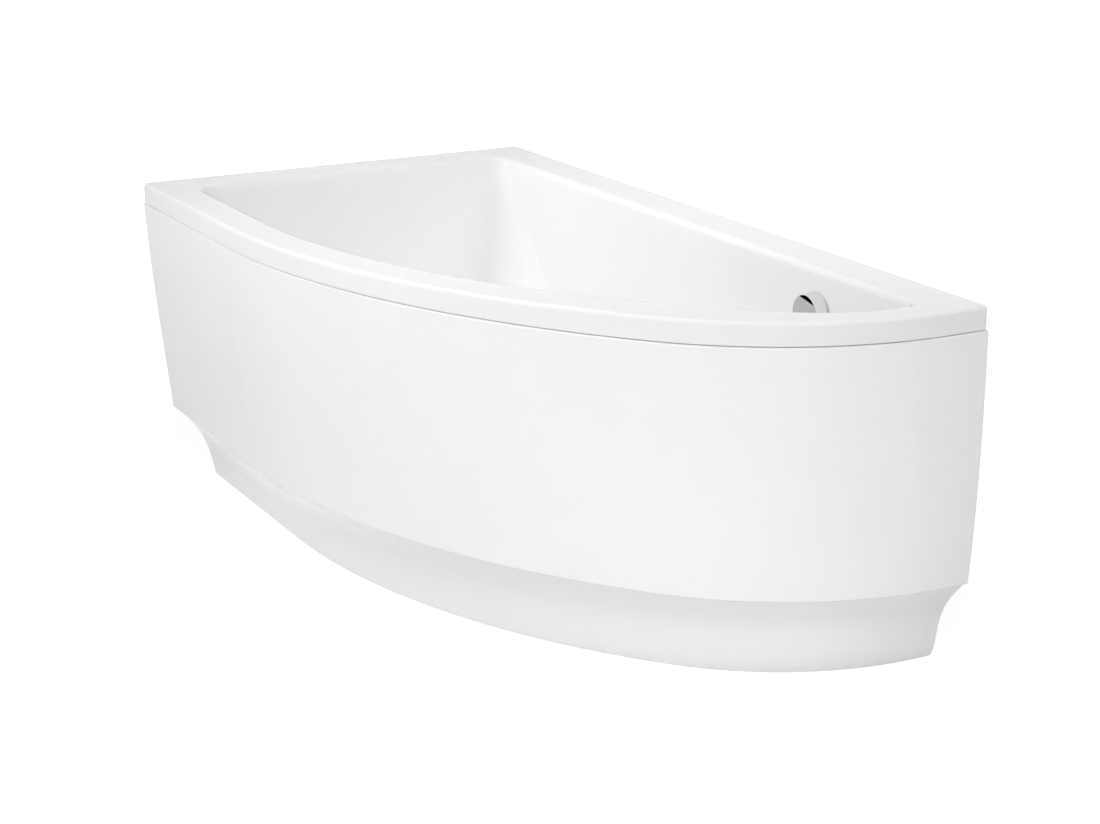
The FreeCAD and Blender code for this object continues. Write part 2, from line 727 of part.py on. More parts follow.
def end_cap(x, y, outward):
    """A plastic plug in a tube's end: a thin cover and a hollow square spigot."""
    half = BAR / 2
    inner = half - BAR_WALL
    hollow = inner - CAP_WALL
    middle = BAR_BOTTOM + half
    cover = box((x - half, x + half), sorted((y, y + outward * CAP_FLANGE)), (BAR_BOTTOM, BOARD_UNDER))
    along = sorted((y, y - outward * CAP_PLUG))
    spigot = box((x - inner, x + inner), along, (middle - inner, middle + inner))
    spigot = spigot.cut(box((x - hollow, x + hollow), along, (middle - hollow, middle + hollow)))
    return cover.fuse(spigot).removeSplitter()


def bar_screw(x, y):
    """A screw from inside the tube up into the board."""
    seat = BOARD_UNDER - BAR_WALL
    shank = rod(SCREW_RADIUS, *up(x, y, seat, seat + SCREW_GRIP))
    head = Part.makeCone(SCREW_HEAD_RADIUS - SCREW_HEAD_TAPER, SCREW_HEAD_RADIUS, SCREW_HEAD,
                         V(x, y, seat - SCREW_HEAD), Z_AXIS)
    return shank.fuse(head).removeSplitter()


def foot_nuts():
    """A welded nut under each bar and the lock nut below it, at all four feet."""
    nuts = []
    bore = ROD_RADIUS + ROD_RUNNING_GAP
    for bar_x, front in BAR_ENDS:
        for x, y in foot_places(bar_x, front):
            nuts.append(hex_nut(x, y, BAR_BOTTOM - NUT_HEIGHT, NUT_HEIGHT, bore))
            nuts.append(hex_nut(x, y, BAR_BOTTOM - NUT_HEIGHT - LOCK_NUT_HEIGHT, LOCK_NUT_HEIGHT, bore))
    return nuts


def foot_rod(x, y):
    """A threaded rod, shown plain, with a chamfered top and a rounded bottom in its pad."""
    top = BAR_BOTTOM + ROD_TOP_ABOVE_BAR_BOTTOM
    shank = rod(ROD_RADIUS, *up(x, y, PAD_FLOOR, top))
    ends = [e for e in shank.Edges if abs(e.BoundBox.ZMax - e.BoundBox.ZMin) < 0.01]
    return shank.makeChamfer(ROD_CHAMFER, ends)


def foot_pad(x, y):
    """A moulded foot: a broad rim, a cone up to a collar, and a socket for the rod."""
    outline = [(0, 0), (PAD_RADIUS, 0), (PAD_RADIUS, PAD_RIM), (PAD_CONE_RADIUS, PAD_CONE_TOP),
               (PAD_TOP_RADIUS, PAD_COLLAR_LOW), (PAD_TOP_RADIUS, PAD_HEIGHT), (0, PAD_HEIGHT)]
    pad = revolved(outline, V(x, y, 0), Z_AXIS)
    return pad.cut(rod(ROD_RADIUS, *up(x, y, PAD_FLOOR, PAD_HEIGHT)))


# ---- wall hangers ----------------------------------------------------------------------------
def hanger(point, turn):
    """A bent steel hanger on the wall: a plate with a screw hole, a shelf under the apron and a
    tongue up behind it. Made for the back wall, then turned about the upright axis."""
    wall, shelf_top = 0.0, APRON_BOTTOM - SEAT_GAP
    tongue = -(SKIN + SEAT_GAP)
    outline = [(wall, shelf_top - HANGER_DROP), (wall, shelf_top), (tongue, shelf_top),
               (tongue, shelf_top + HANGER_TONGUE), (tongue - HANGER_PLATE, shelf_top + HANGER_TONGUE),
               (tongue - HANGER_PLATE, shelf_top - HANGER_PLATE), (-HANGER_PLATE, shelf_top - HANGER_PLATE),
               (-HANGER_PLATE, shelf_top - HANGER_DROP)]
    corners = [V(-HANGER_WIDTH / 2, y, z) for y, z in outline]
    plate = Part.Face(Part.makePolygon(corners + corners[:1])).extrude(X_AXIS * HANGER_WIDTH)
    hole_z = shelf_top - HANGER_HOLE_DROP
    plate = plate.cut(rod(HANGER_HOLE_RADIUS, *deep(0, hole_z, -HANGER_PLATE, 0)))
    plate.rotate(V(0, 0, 0), Z_AXIS, turn)
    plate.translate(point)
    return plate


def wall_hangers():
    """Two hangers on the long wall and two on the short one."""
    back = [hanger(V(side * HANGER_BACK_SPACING / 2, BACK, 0), 0) for side in (-1, 1)]
    left = [hanger(V(LEFT, side * HANGER_LEFT_SPACING / 2, 0), 90) for side in (-1, 1)]
    return back + left


# ---- overflow --------------------------------------------------------------------------------
def knob_back_y():
    """The plane just in front of the rosette where the knob ends."""
    return PAD_FACE_Y - ROSETTE_THICK - SEAT_GAP


def overflow_knob():
    """The chrome knob: a rounded cap with two chord-shaped finger recesses and a hub behind."""
    face_y = PAD_FACE_Y - KNOB_PROUD
    back_y = knob_back_y()
    cap = rod(KNOB_RADIUS, *deep(OVERFLOW_X, OVERFLOW_Z, face_y, back_y))
    front_edge = [e for e in cap.Edges if e.BoundBox.YMax < face_y + 0.01]
    cap = cap.makeFillet(KNOB_ROUND, front_edge)
    floor_y = face_y + KNOB_RECESS
    hollow = rod(KNOB_RADIUS - KNOB_WALL, *deep(OVERFLOW_X, OVERFLOW_Z, floor_y + KNOB_WALL, back_y))
    hub = rod(KNOB_HUB_RADIUS, *deep(OVERFLOW_X, OVERFLOW_Z, floor_y, back_y))
    bore = rod(SPINDLE_RADIUS, *deep(OVERFLOW_X, OVERFLOW_Z, floor_y, back_y))
    recesses = [knob_recess(side, face_y, floor_y) for side in (1, -1)]
    return cap.cut([hollow.cut(hub), bore] + recesses)


def knob_recess(side, face_y, floor_y):
    """A finger recess between a chord and the knob's thin rim, on one side of the grip."""
    disc = rod(KNOB_RADIUS - KNOB_WALL, *deep(OVERFLOW_X, OVERFLOW_Z, face_y, floor_y))
    low, high = sorted((side * KNOB_CHORD, side * 2 * KNOB_RADIUS))
    keep = box((-KNOB_RADIUS, KNOB_RADIUS), (face_y, floor_y), (low, high))
    keep.rotate(V(0, 0, 0), Y_AXIS, -KNOB_TILT)
    keep.translate(V(OVERFLOW_X, 0, OVERFLOW_Z))
    return disc.common(keep)


def overflow_rosette():
    """The ring in front of the shell: a spoked disc with a hub for the spindle and a sleeve that
    goes back through the shell into the body."""
    front_y = PAD_FACE_Y - ROSETTE_THICK
    inner = SLEEVE_RADIUS - SLEEVE_WALL
    ring = tube(ROSETTE_RADIUS, inner, *deep(OVERFLOW_X, OVERFLOW_Z, front_y, PAD_FACE_Y))
    sleeve = tube(SLEEVE_RADIUS, inner, *deep(OVERFLOW_X, OVERFLOW_Z, front_y, PAD_FACE_Y + SLEEVE_LENGTH))
    hub_y = PAD_FACE_Y + SLEEVE_LENGTH / 2
    hub = rod(ROSETTE_HUB_RADIUS, *deep(OVERFLOW_X, OVERFLOW_Z, front_y, hub_y))
    long, thin = inner + SPOKE_BITE, ROSETTE_SPOKE / 2
    spokes = [box((OVERFLOW_X - x, OVERFLOW_X + x), (front_y, front_y + 2 * ROSETTE_THICK),
                  (OVERFLOW_Z - z, OVERFLOW_Z + z)) for x, z in ((long, thin), (thin, long))]
    bore = SPINDLE_RADIUS + SPINDLE_RUNNING_GAP
    return fuse([ring, sleeve, hub] + spokes).cut(rod(bore, *deep(OVERFLOW_X, OVERFLOW_Z, front_y, hub_y)))


def overflow_seal():
    """The rubber ring behind the shell."""
    start = SHELL_BACK_Y
    return tube(RUBBER_RADIUS, HOLE_RADIUS, *deep(OVERFLOW_X, OVERFLOW_Z, start, start + RUBBER))


def body_front_y():
    """The front plane of the overflow body's flange."""
    return SHELL_BACK_Y + RUBBER


def overflow_body():
    """The cup behind the shell, with a spigot socket down to the pipe and the cable's gland."""
    front = body_front_y()
    back = front + BODY_DEPTH
    low = OVERFLOW_Z - BODY_SPIGOT_DROP
    gland_x = OVERFLOW_X + GLAND_OFFSET
    gland_y = front + BODY_FLANGE + GLAND_RADIUS
    gland = up(gland_x, gland_y, OVERFLOW_Z - BODY_RADIUS - GLAND_LENGTH, OVERFLOW_Z)
    body = fuse([rod(RUBBER_RADIUS, *deep(OVERFLOW_X, OVERFLOW_Z, front, front + BODY_FLANGE)),
                 rod(BODY_RADIUS, *deep(OVERFLOW_X, OVERFLOW_Z, front, back)),
                 rod(PIPE_RADIUS + SOCKET_WALL, *up(OVERFLOW_X, pipe_y(), low, OVERFLOW_Z)),
                 rod(GLAND_RADIUS, *gland)])
    inside = back - BODY_WALL
    hollows = [rod(SLEEVE_RADIUS + THREAD_GAP, *deep(OVERFLOW_X, OVERFLOW_Z, front, inside)),
               rod(BODY_RADIUS - BODY_WALL, *deep(OVERFLOW_X, OVERFLOW_Z, front + BODY_FLANGE, inside)),
               rod(PIPE_RADIUS - PIPE_WALL, *up(OVERFLOW_X, pipe_y(), low, OVERFLOW_Z)),
               rod(PIPE_RADIUS, *up(OVERFLOW_X, pipe_y(), low, low + SOCKET_DEPTH)),
               rod(GLAND_BORE, *gland)]
    return body.cut(hollows).removeSplitter()


def knob_spindle():
    """The shaft from the knob's hub through the rosette to the cable wheel."""
    start = PAD_FACE_Y - KNOB_PROUD + KNOB_RECESS
    end = wheel_y() + CABLE_WHEEL_THICK
    return rod(SPINDLE_RADIUS, *deep(OVERFLOW_X, OVERFLOW_Z, start, end))


def wheel_y():
    """Where the cable wheel starts, behind the rosette's sleeve."""
    return PAD_FACE_Y + SLEEVE_LENGTH + CABLE_WHEEL_BACK


def cable_wheel():
    """The grooved wheel that pulls the plug's cable, with a hole across its groove for the
    cable's end."""
    y = wheel_y()
    middle = CABLE_WHEEL_THICK / 2
    outer = CABLE_WHEEL_RADIUS
    pitch = outer - CABLE_GROOVE
    outline = [(SPINDLE_RADIUS, 0), (outer, 0), (outer, middle - CABLE_GROOVE),
               (pitch - CABLE_GROOVE, middle), (outer, middle + CABLE_GROOVE),
               (outer, CABLE_WHEEL_THICK), (SPINDLE_RADIUS, CABLE_WHEEL_THICK)]
    wheel = revolved(outline, V(OVERFLOW_X, y, OVERFLOW_Z), Y_AXIS)
    return wheel.cut(rod(CABLE_END_RADIUS, *deep(OVERFLOW_X - pitch, OVERFLOW_Z, y, y + CABLE_WHEEL_THICK)))


# ---- overflow pipe ---------------------------------------------------------------------------
def pipe_y():
    """Where the pipe runs down, behind the overflow body's front plane."""
    return body_front_y() + PIPE_BEHIND_FLANGE + PIPE_RADIUS + SOCKET_WALL


def lower_pipe_radius():
    """The outside of the lower pipe, which slides over the upper one."""
    return PIPE_RADIUS + THREAD_GAP + LOWER_PIPE_WALL


def pipe_top():
    """The top of the upper pipe, at the end of the overflow body's socket."""
    return OVERFLOW_Z - BODY_SPIGOT_DROP + SOCKET_DEPTH


def overflow_pipe_upper():
    """The upper, thinner length of the telescopic pipe."""
    return tube(PIPE_RADIUS, PIPE_RADIUS - PIPE_WALL,
                *up(OVERFLOW_X, pipe_y(), TELESCOPE_TOP - TELESCOPE_OVERLAP, pipe_top()))


def overflow_pipe_lower():
    """The lower, wider length, with a neck that fits the elbow's socket."""
    low = elbow_socket_floor()
    step = elbow_socket_top() + LOWER_PIPE_NECK
    inner = PIPE_RADIUS + THREAD_GAP
    wide = tube(lower_pipe_radius(), inner, *up(OVERFLOW_X, pipe_y(), step, TELESCOPE_TOP))
    neck = tube(PIPE_RADIUS, PIPE_RADIUS - PIPE_WALL, *up(OVERFLOW_X, pipe_y(), low, step))
    shoulder = up(OVERFLOW_X, pipe_y(), step - PIPE_WALL, step)
    collar = tube(lower_pipe_radius(), PIPE_RADIUS - PIPE_WALL, *shoulder)
    return fuse([wide, collar, neck])


def telescope_nut():
    """The hand nut that clamps the two lengths of pipe."""
    ends = up(OVERFLOW_X, pipe_y(), TELESCOPE_TOP - NUT_LENGTH, TELESCOPE_TOP + RUBBER + NUT_LIP)
    return ribbed_nut(lower_pipe_radius() + NUT_WALL, lower_pipe_radius() + THREAD_GAP,
                      PIPE_RADIUS + THREAD_GAP, *ends)


def telescope_seal():
    """The rubber ring inside the clamping nut."""
    return tube(lower_pipe_radius(), PIPE_RADIUS + THREAD_GAP,
                *up(OVERFLOW_X, pipe_y(), TELESCOPE_TOP, TELESCOPE_TOP + RUBBER))


def elbow_socket_floor():
    """Where the lower pipe's neck ends in the elbow."""
    return ELBOW_Z + ELBOW_BEND


def elbow_socket_top():
    """The top of the elbow's socket."""
    return elbow_socket_floor() + SOCKET_DEPTH


def elbow_solid(radius):
    """A quarter bend and its straight run into the waste body, as a solid of the given radius."""
    start = V(OVERFLOW_X, pipe_y(), elbow_socket_floor())
    centre = start - Y_AXIS * ELBOW_BEND
    section = Part.Face(Part.Wire([Part.makeCircle(radius, start, Z_AXIS)]))
    bend = section.revolve(centre, X_AXIS, -90)
    end = V(OVERFLOW_X, pipe_y() - ELBOW_BEND, ELBOW_Z)
    return bend.fuse(rod(radius, end, V(OVERFLOW_X, waste_inlet_end() - SOCKET_DEPTH, ELBOW_Z)))


def overflow_elbow():
    """The bend from the pipe to the waste body, with a socket at its top."""
    floor, top = elbow_socket_floor(), elbow_socket_top()
    socket = rod(PIPE_RADIUS + SOCKET_WALL, *up(OVERFLOW_X, pipe_y(), floor - ELBOW_COLLAR, top))
    body = elbow_solid(PIPE_RADIUS).fuse(socket)
    hollows = [elbow_solid(PIPE_RADIUS - PIPE_WALL), rod(PIPE_RADIUS, *up(OVERFLOW_X, pipe_y(), floor, top))]
    return body.cut(hollows).removeSplitter()


def waste_inlet_end():
    """The outer end of the waste body's side inlet."""
    return WASTE_Y + WASTE_BODY_RADIUS + INLET_LENGTH


def elbow_nut():
    """The hand nut that joins the elbow to the waste body."""
    end = waste_inlet_end()
    return ribbed_nut(PIPE_RADIUS + SOCKET_WALL + NUT_WALL, PIPE_RADIUS + SOCKET_WALL + THREAD_GAP,
                      PIPE_RADIUS + THREAD_GAP, *deep(OVERFLOW_X, ELBOW_Z, end - NUT_LENGTH, end + NUT_LIP))


# ---- waste -----------------------------------------------------------------------------------
def waste_flange():
    """The strainer: a bevelled rim, a tube through the floor, and a spoked guide for the plug."""
    top = WASTE_DISH_FLOOR + FLANGE_THICK
    low = WASTE_DISH_FLOOR - FLANGE_TUBE_LENGTH
    inner = FLANGE_TUBE_RADIUS - FLANGE_TUBE_WALL
    outline = [(inner, low), (FLANGE_TUBE_RADIUS, low), (FLANGE_TUBE_RADIUS, WASTE_DISH_FLOOR),
               (FLANGE_RADIUS, WASTE_DISH_FLOOR), (FLANGE_RADIUS, WASTE_DISH_FLOOR + FLANGE_EDGE),
               (FLANGE_RADIUS - FLANGE_BEVEL, top), (FLANGE_TUBE_RADIUS, top),
               (inner, top - FLANGE_TUBE_WALL)]
    rim = revolved(outline, V(WASTE_X, WASTE_Y, 0), Z_AXIS)
    hub = rod(GUIDE_RADIUS, *up(WASTE_X, WASTE_Y, low, low + GUIDE_HEIGHT))
    long, thin = inner + SPOKE_BITE, GUIDE_SPOKE / 2
    spokes = [box((WASTE_X - x, WASTE_X + x), (WASTE_Y - y, WASTE_Y + y), (low, low + GUIDE_HEIGHT))
              for x, y in ((long, thin), (thin, long))]
    guide_bore = rod(PLUG_STEM_RADIUS + PLUG_STEM_GAP, *up(WASTE_X, WASTE_Y, low, low + GUIDE_HEIGHT))
    return fuse([rim, hub] + spokes).cut(guide_bore)


def waste_seat_z():
    """The underside of the shell at the waste."""
    return WASTE_DISH_FLOOR - SKIN


def waste_seal():
    """The rubber ring under the shell."""
    low = waste_seat_z() - RUBBER
    return tube(RUBBER_RADIUS, HOLE_RADIUS, *up(WASTE_X, WASTE_Y, low, waste_seat_z()))


def waste_body():
    """The waste body: a flange, a throat, the overflow's inlet, the trap's spigot and a gland."""
    top = waste_seat_z() - RUBBER
    spigot_low = TRAP_HEAD_TOP - TRAP_SOCKET
    inlet_end = waste_inlet_end()
    gland_z = LEVER_PIVOT_Z + CRANK_ARM
    gland = deep(WASTE_X, gland_z, WASTE_Y - WASTE_BODY_RADIUS - GLAND_LENGTH, WASTE_Y)
    body = fuse([rod(RUBBER_RADIUS, *up(WASTE_X, WASTE_Y, top - BODY_FLANGE, top)),
                 rod(WASTE_BODY_RADIUS, *up(WASTE_X, WASTE_Y, WASTE_BODY_BOTTOM, top)),
                 rod(SPIGOT_RADIUS, *up(WASTE_X, WASTE_Y, spigot_low, WASTE_BODY_BOTTOM + BODY_WALL)),
                 rod(PIPE_RADIUS + SOCKET_WALL, *deep(WASTE_X, ELBOW_Z, WASTE_Y, inlet_end)),
                 rod(GLAND_RADIUS, *gland)])
    hollows = [rod(throat_radius(), *up(WASTE_X, WASTE_Y, WASTE_BODY_BOTTOM + BODY_WALL, top)),
               rod(SPIGOT_RADIUS - BODY_WALL, *up(WASTE_X, WASTE_Y, spigot_low, LEVER_PIVOT_Z)),
               rod(PIPE_RADIUS - PIPE_WALL, *deep(WASTE_X, ELBOW_Z, WASTE_Y, inlet_end)),
               rod(PIPE_RADIUS, *deep(WASTE_X, ELBOW_Z, inlet_end - SOCKET_DEPTH, inlet_end)),
               rod(GLAND_BORE, *gland),
               rod(LEVER_PIN_RADIUS, *lever_pin_ends())]
    return body.cut(hollows).removeSplitter()


def throat_radius():
    """The waste body's bore, which the flange's tube screws into."""
    return FLANGE_TUBE_RADIUS + THREAD_GAP


def lever_arm_end(length, angle):
    """The offset from the lever's pivot to a point on an arm, its angle measured from +Y upwards."""
    a = math.radians(angle)
    return V(0, length * math.cos(a), length * math.sin(a))


def lever_pivot():
    """The lift lever's pivot, which puts the tip under the plug's stem."""
    reach = lever_arm_end(LEVER_ARM, -LEVER_ANGLE).y
    return V(WASTE_X, WASTE_Y - reach, LEVER_PIVOT_Z)


def lever_pin_ends():
    """The two ends of the lever's pin, along X, each let into the throat's wall."""
    pivot = lever_pivot()
    half = math.sqrt(throat_radius() ** 2 - (WASTE_Y - pivot.y) ** 2) + LEVER_PIN_BITE
    return pivot - X_AXIS * half, pivot + X_AXIS * half


def lever_tip():
    """The middle of the lever's rounded tip when the plug is shut."""
    return lever_pivot() + lever_arm_end(LEVER_ARM, -LEVER_ANGLE)


def lever_blade(start, end, width):
    """A flat arm from the lever's hub to one of its rounded ends."""
    across = (end - start).cross(X_AXIS).normalize() * (LEVER_THICK / 2)
    corners = [start + across, end + across, end - across, start - across]
    corners = [c - X_AXIS * (width / 2) for c in corners]
    return Part.Face(Part.makePolygon(corners + corners[:1])).extrude(X_AXIS * width)


def lever_boss(centre, radius, width):
    """A round boss on the lever, along X."""
    return rod(radius, centre - X_AXIS * (width / 2), centre + X_AXIS * (width / 2))


def lift_lever():
    """The bell crank that lifts the plug's stem: a hub, an arm with a rounded tip under the stem,
    and an upright arm with an eye for the cable."""
    pivot, tip = lever_pivot(), lever_tip()
    eye = pivot + lever_arm_end(CRANK_ARM, CRANK_ANGLE)
    narrow = LEVER_WIDTH / 2
    solid = fuse([lever_boss(pivot, LEVER_HUB_RADIUS, LEVER_WIDTH),
                  lever_boss(tip, LEVER_TIP_RADIUS, LEVER_WIDTH),
                  lever_boss(eye, CRANK_EYE_RADIUS, narrow),
                  lever_blade(pivot, tip, LEVER_WIDTH), lever_blade(pivot, eye, narrow)])
    pin_bore = rod(LEVER_PIN_RADIUS + LEVER_PIN_GAP, *lever_pin_ends())
    return solid.cut([pin_bore, lever_boss(eye, CABLE_END_RADIUS, narrow)])


def lever_pin():
    """The pin that carries the lift lever."""
    return rod(LEVER_PIN_RADIUS, *lever_pin_ends())


def plug_seal_z():
    """The underside of the plug's rubber ring when the plug is shut."""
    return WASTE_DISH_FLOOR + FLANGE_THICK + SEAT_GAP


def plug():
    """The pop-up plug: a domed cap on a stem whose nose stands on the lift lever."""
    low = plug_seal_z() + PLUG_SEAL_THICK
    disc_top = low + PLUG_THICK
    disc = rod(PLUG_RADIUS, *up(WASTE_X, WASTE_Y, low, disc_top))
    sphere_radius = (PLUG_RADIUS ** 2 + PLUG_DOME ** 2) / (2 * PLUG_DOME)
    ball = Part.makeSphere(sphere_radius, V(WASTE_X, WASTE_Y, disc_top + PLUG_DOME - sphere_radius))
    dome = rod(PLUG_RADIUS, *up(WASTE_X, WASTE_Y, disc_top, disc_top + PLUG_DOME)).common(ball)
    stem_end = lever_tip().z + LEVER_TIP_RADIUS + SEAT_GAP
    nose_tip = V(WASTE_X, WASTE_Y, stem_end)
    nose = Part.makeCone(PLUG_NOSE_RADIUS, PLUG_STEM_RADIUS, PLUG_NOSE, nose_tip, Z_AXIS)
    stem = rod(PLUG_STEM_RADIUS, *up(WASTE_X, WASTE_Y, stem_end + PLUG_NOSE, low))
    retainer = rod(PLUG_SEAL_IN, *up(WASTE_X, WASTE_Y, plug_seal_z(), low))
    return fuse([disc, dome, nose, stem, retainer])


def plug_seal():
    """The rubber ring under the plug's cap."""
    low = plug_seal_z()
    return tube(PLUG_SEAL_OUT, PLUG_SEAL_IN, *up(WASTE_X, WASTE_Y, low, low + PLUG_SEAL_THICK))


# ---- trap ------------------------------------------------------------------------------------
def trap_neck_radius():
    """The outer radius of the trap's threaded neck, which takes the waste body's spigot."""
    return SPIGOT_RADIUS + NUT_WALL


def trap_union_nut():
    """The hand nut between the waste body and the trap."""
    neck = trap_neck_radius()
    ends = up(WASTE_X, WASTE_Y, TRAP_HEAD_TOP - TRAP_UNION_GRIP, TRAP_HEAD_TOP + RUBBER + NUT_LIP)
    return ribbed_nut(neck + NUT_WALL, neck + THREAD_GAP, SPIGOT_RADIUS + THREAD_GAP, *ends)


def trap_union_seal():
    """The rubber ring round the waste body's spigot, on top of the trap's neck."""
    ends = up(WASTE_X, WASTE_Y, TRAP_HEAD_TOP, TRAP_HEAD_TOP + RUBBER)
    return tube(trap_neck_radius(), SPIGOT_RADIUS, *ends)


def trap_skirt_radius():
    """The outer radius of the trap head's skirt, which the cup screws onto."""
    return TRAP_CUP_RADIUS - TRAP_WALL - THREAD_GAP


def outlet_thread_radius():
    """The outer radius of the outlet's thread and of the outlet pipe's collar."""
    return PIPE_RADIUS + OUTLET_COLLAR


def trap_head():
    """The trap's upper part: an inlet neck, a dip tube, a skirt for the cup, and the outlet."""
    skirt = trap_skirt_radius()
    outlet_end = outlet_joint_y()
    outlet = deep(WASTE_X, TRAP_OUTLET_Z, WASTE_Y + skirt - TRAP_WALL, outlet_end)
    thread = deep(WASTE_X, TRAP_OUTLET_Z, outlet_end - OUTLET_NUT_GRIP, outlet_end)
    head = fuse([rod(skirt, *up(WASTE_X, WASTE_Y, TRAP_SKIRT_LOW, TRAP_LID_LOW + TRAP_WALL)),
                 rod(trap_neck_radius(), *up(WASTE_X, WASTE_Y, TRAP_LID_LOW, TRAP_HEAD_TOP)),
                 rod(TRAP_OUTLET_RADIUS, *outlet), rod(outlet_thread_radius(), *thread)])
    inside = rod(skirt - TRAP_WALL, *up(WASTE_X, WASTE_Y, TRAP_SKIRT_LOW, TRAP_LID_LOW))
    dip = rod(DIP_TUBE_RADIUS + DIP_TUBE_WALL, *up(WASTE_X, WASTE_Y, DIP_TUBE_END, TRAP_LID_LOW))
    head = head.cut([inside, rod(TRAP_OUTLET_RADIUS - BODY_WALL, *outlet)]).fuse(dip)
    socket_ends = up(WASTE_X, WASTE_Y, TRAP_HEAD_TOP - TRAP_SOCKET, TRAP_HEAD_TOP)
    socket = rod(SPIGOT_RADIUS + THREAD_GAP, *socket_ends)
    way = rod(DIP_TUBE_RADIUS, *up(WASTE_X, WASTE_Y, DIP_TUBE_END, TRAP_HEAD_TOP))
    return head.cut([socket, way]).removeSplitter()


def trap_cup():
    """The cup that screws on below, with a ribbed grip."""
    bevel = TRAP_CUP_BEVEL
    inner = TRAP_CUP_RADIUS - TRAP_WALL
    grip = TRAP_CUP_BOTTOM + bevel
    floor = TRAP_CUP_BOTTOM + TRAP_WALL
    outline = [(0, TRAP_CUP_BOTTOM), (TRAP_CUP_RADIUS - bevel, TRAP_CUP_BOTTOM), (TRAP_CUP_RADIUS, grip),
               (TRAP_CUP_RADIUS, TRAP_CUP_TOP), (inner, TRAP_CUP_TOP), (inner, grip),
               (inner - bevel + TRAP_WALL, floor), (0, floor)]
    cup = revolved(outline, V(WASTE_X, WASTE_Y, 0), Z_AXIS)
    ribs = []
    for i in range(RIBS):
        angle = 2 * math.pi * i / RIBS
        x = WASTE_X + TRAP_CUP_RADIUS * math.cos(angle)
        y = WASTE_Y + TRAP_CUP_RADIUS * math.sin(angle)
        ribs.append(rod(RIB_RADIUS, *up(x, y, grip, TRAP_CUP_TOP)))
    return fuse([cup] + ribs).cut(rod(inner, *up(WASTE_X, WASTE_Y, grip, TRAP_CUP_TOP)))


def trap_cup_seal():
    """The rubber ring between the cup and the head's skirt."""
    skirt = trap_skirt_radius()
    return tube(skirt, skirt - TRAP_WALL,
                *up(WASTE_X, WASTE_Y, TRAP_CUP_BOTTOM + TRAP_CUP_BEVEL, TRAP_SKIRT_LOW))


def outlet_joint_y():
    """Where the outlet pipe meets the trap's spigot."""
    return WASTE_Y + trap_skirt_radius() + TRAP_SPIGOT


def trap_outlet_seal():
    """The rubber ring at the outlet joint."""
    end = outlet_joint_y()
    ends = deep(WASTE_X, TRAP_OUTLET_Z, end, end + RUBBER)
    return tube(PIPE_RADIUS, TRAP_OUTLET_RADIUS - BODY_WALL, *ends)


def trap_outlet_nut():
    """The hand nut of the outlet joint, whose lip holds the pipe's collar."""
    joint = outlet_joint_y()
    end = joint + RUBBER + OUTLET_COLLAR_WIDTH + NUT_LIP
    thread = outlet_thread_radius()
    return ribbed_nut(thread + NUT_WALL, thread + THREAD_GAP, PIPE_RADIUS + THREAD_GAP,
                      *deep(WASTE_X, TRAP_OUTLET_Z, joint - OUTLET_NUT_GRIP, end))


def trap_outlet_pipe():
    """The pipe to the drain in the wall, with a collar inside its nut and a stop bead near its end."""
    start = outlet_joint_y() + RUBBER
    stop = OUTLET_END_Y - OUTLET_SPIGOT
    pipe = deep(WASTE_X, TRAP_OUTLET_Z, start, OUTLET_END_Y)
    collar = deep(WASTE_X, TRAP_OUTLET_Z, start, start + OUTLET_COLLAR_WIDTH)
    bead = deep(WASTE_X, TRAP_OUTLET_Z, stop - STOP_BEAD_WIDTH, stop)
    solid = fuse([rod(outlet_thread_radius(), *collar), rod(PIPE_RADIUS, *pipe),
                  rod(PIPE_RADIUS + STOP_BEAD, *bead)])
    return solid.cut(rod(PIPE_RADIUS - PIPE_WALL, *pipe))


# ---- all sub-parts ---------------------------------------------------------------------------
def groups_along_front():
    """The clips and their screws, at their stations along the panel."""
    top = clip_places(PANEL_TOP)
    floor = clip_places(0)
    return {
        "panel_top_clips": [at_station(top_clip(), p) for p in top],
        "panel_clip_screws": [at_station(clip_screw(), p) for p in top],
        "panel_floor_clips": [at_station(floor_clip(), p) for p in floor],
    }


def cradle():
    """The two bars with their caps, screws, nuts and feet."""
    nodes = {"bar_end_caps": [], "cradle_screws": [], "foot_nuts": foot_nuts()}
    for side, (x, front) in zip(("left", "right"), BAR_ENDS):
        nodes["cradle_bar_" + side] = cradle_bar(x, front)
        nodes["bar_end_caps"] += [end_cap(x, front, -1), end_cap(x, BAR_END_BACK, 1)]
        nodes["cradle_screws"] += [bar_screw(x, y) for y in bar_screw_places(front)]
        for end, (fx, fy) in zip(("front", "back"), foot_places(x, front)):
            nodes["foot_rod_%s_%s" % (end, side)] = foot_rod(fx, fy)
            nodes["foot_pad_%s_%s" % (end, side)] = foot_pad(fx, fy)
    return nodes


def all_nodes():
    """Every sub-part by its name."""
    makers = (tub_shell, base_board, rim_batten, front_panel, wall_hangers, overflow_knob, knob_spindle,
              cable_wheel, overflow_rosette, overflow_seal, overflow_body, overflow_pipe_upper,
              overflow_pipe_lower, telescope_nut, telescope_seal, overflow_elbow, elbow_nut, waste_flange,
              waste_seal, waste_body, plug, plug_seal, lift_lever, lever_pin, trap_union_nut,
              trap_union_seal, trap_head, trap_cup, trap_cup_seal, trap_outlet_seal, trap_outlet_nut,
              trap_outlet_pipe)
    nodes = {maker.__name__: maker() for maker in makers}
    nodes.update(cradle())
    nodes.update(groups_along_front())
    return nodes


def main():
    os.makedirs("parts", exist_ok=True)
    for name, shape in all_nodes().items():
        solid = Part.makeCompound(shape) if isinstance(shape, list) else shape
        solid.exportStep("parts/%s.step" % name)
        print(name, "solids", len(solid.Solids), "valid", solid.isValid(), "volume %.0f" % solid.Volume)


main()
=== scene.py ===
"""Corner bathtub: surfaces, finishes and a white studio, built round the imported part."""
import math

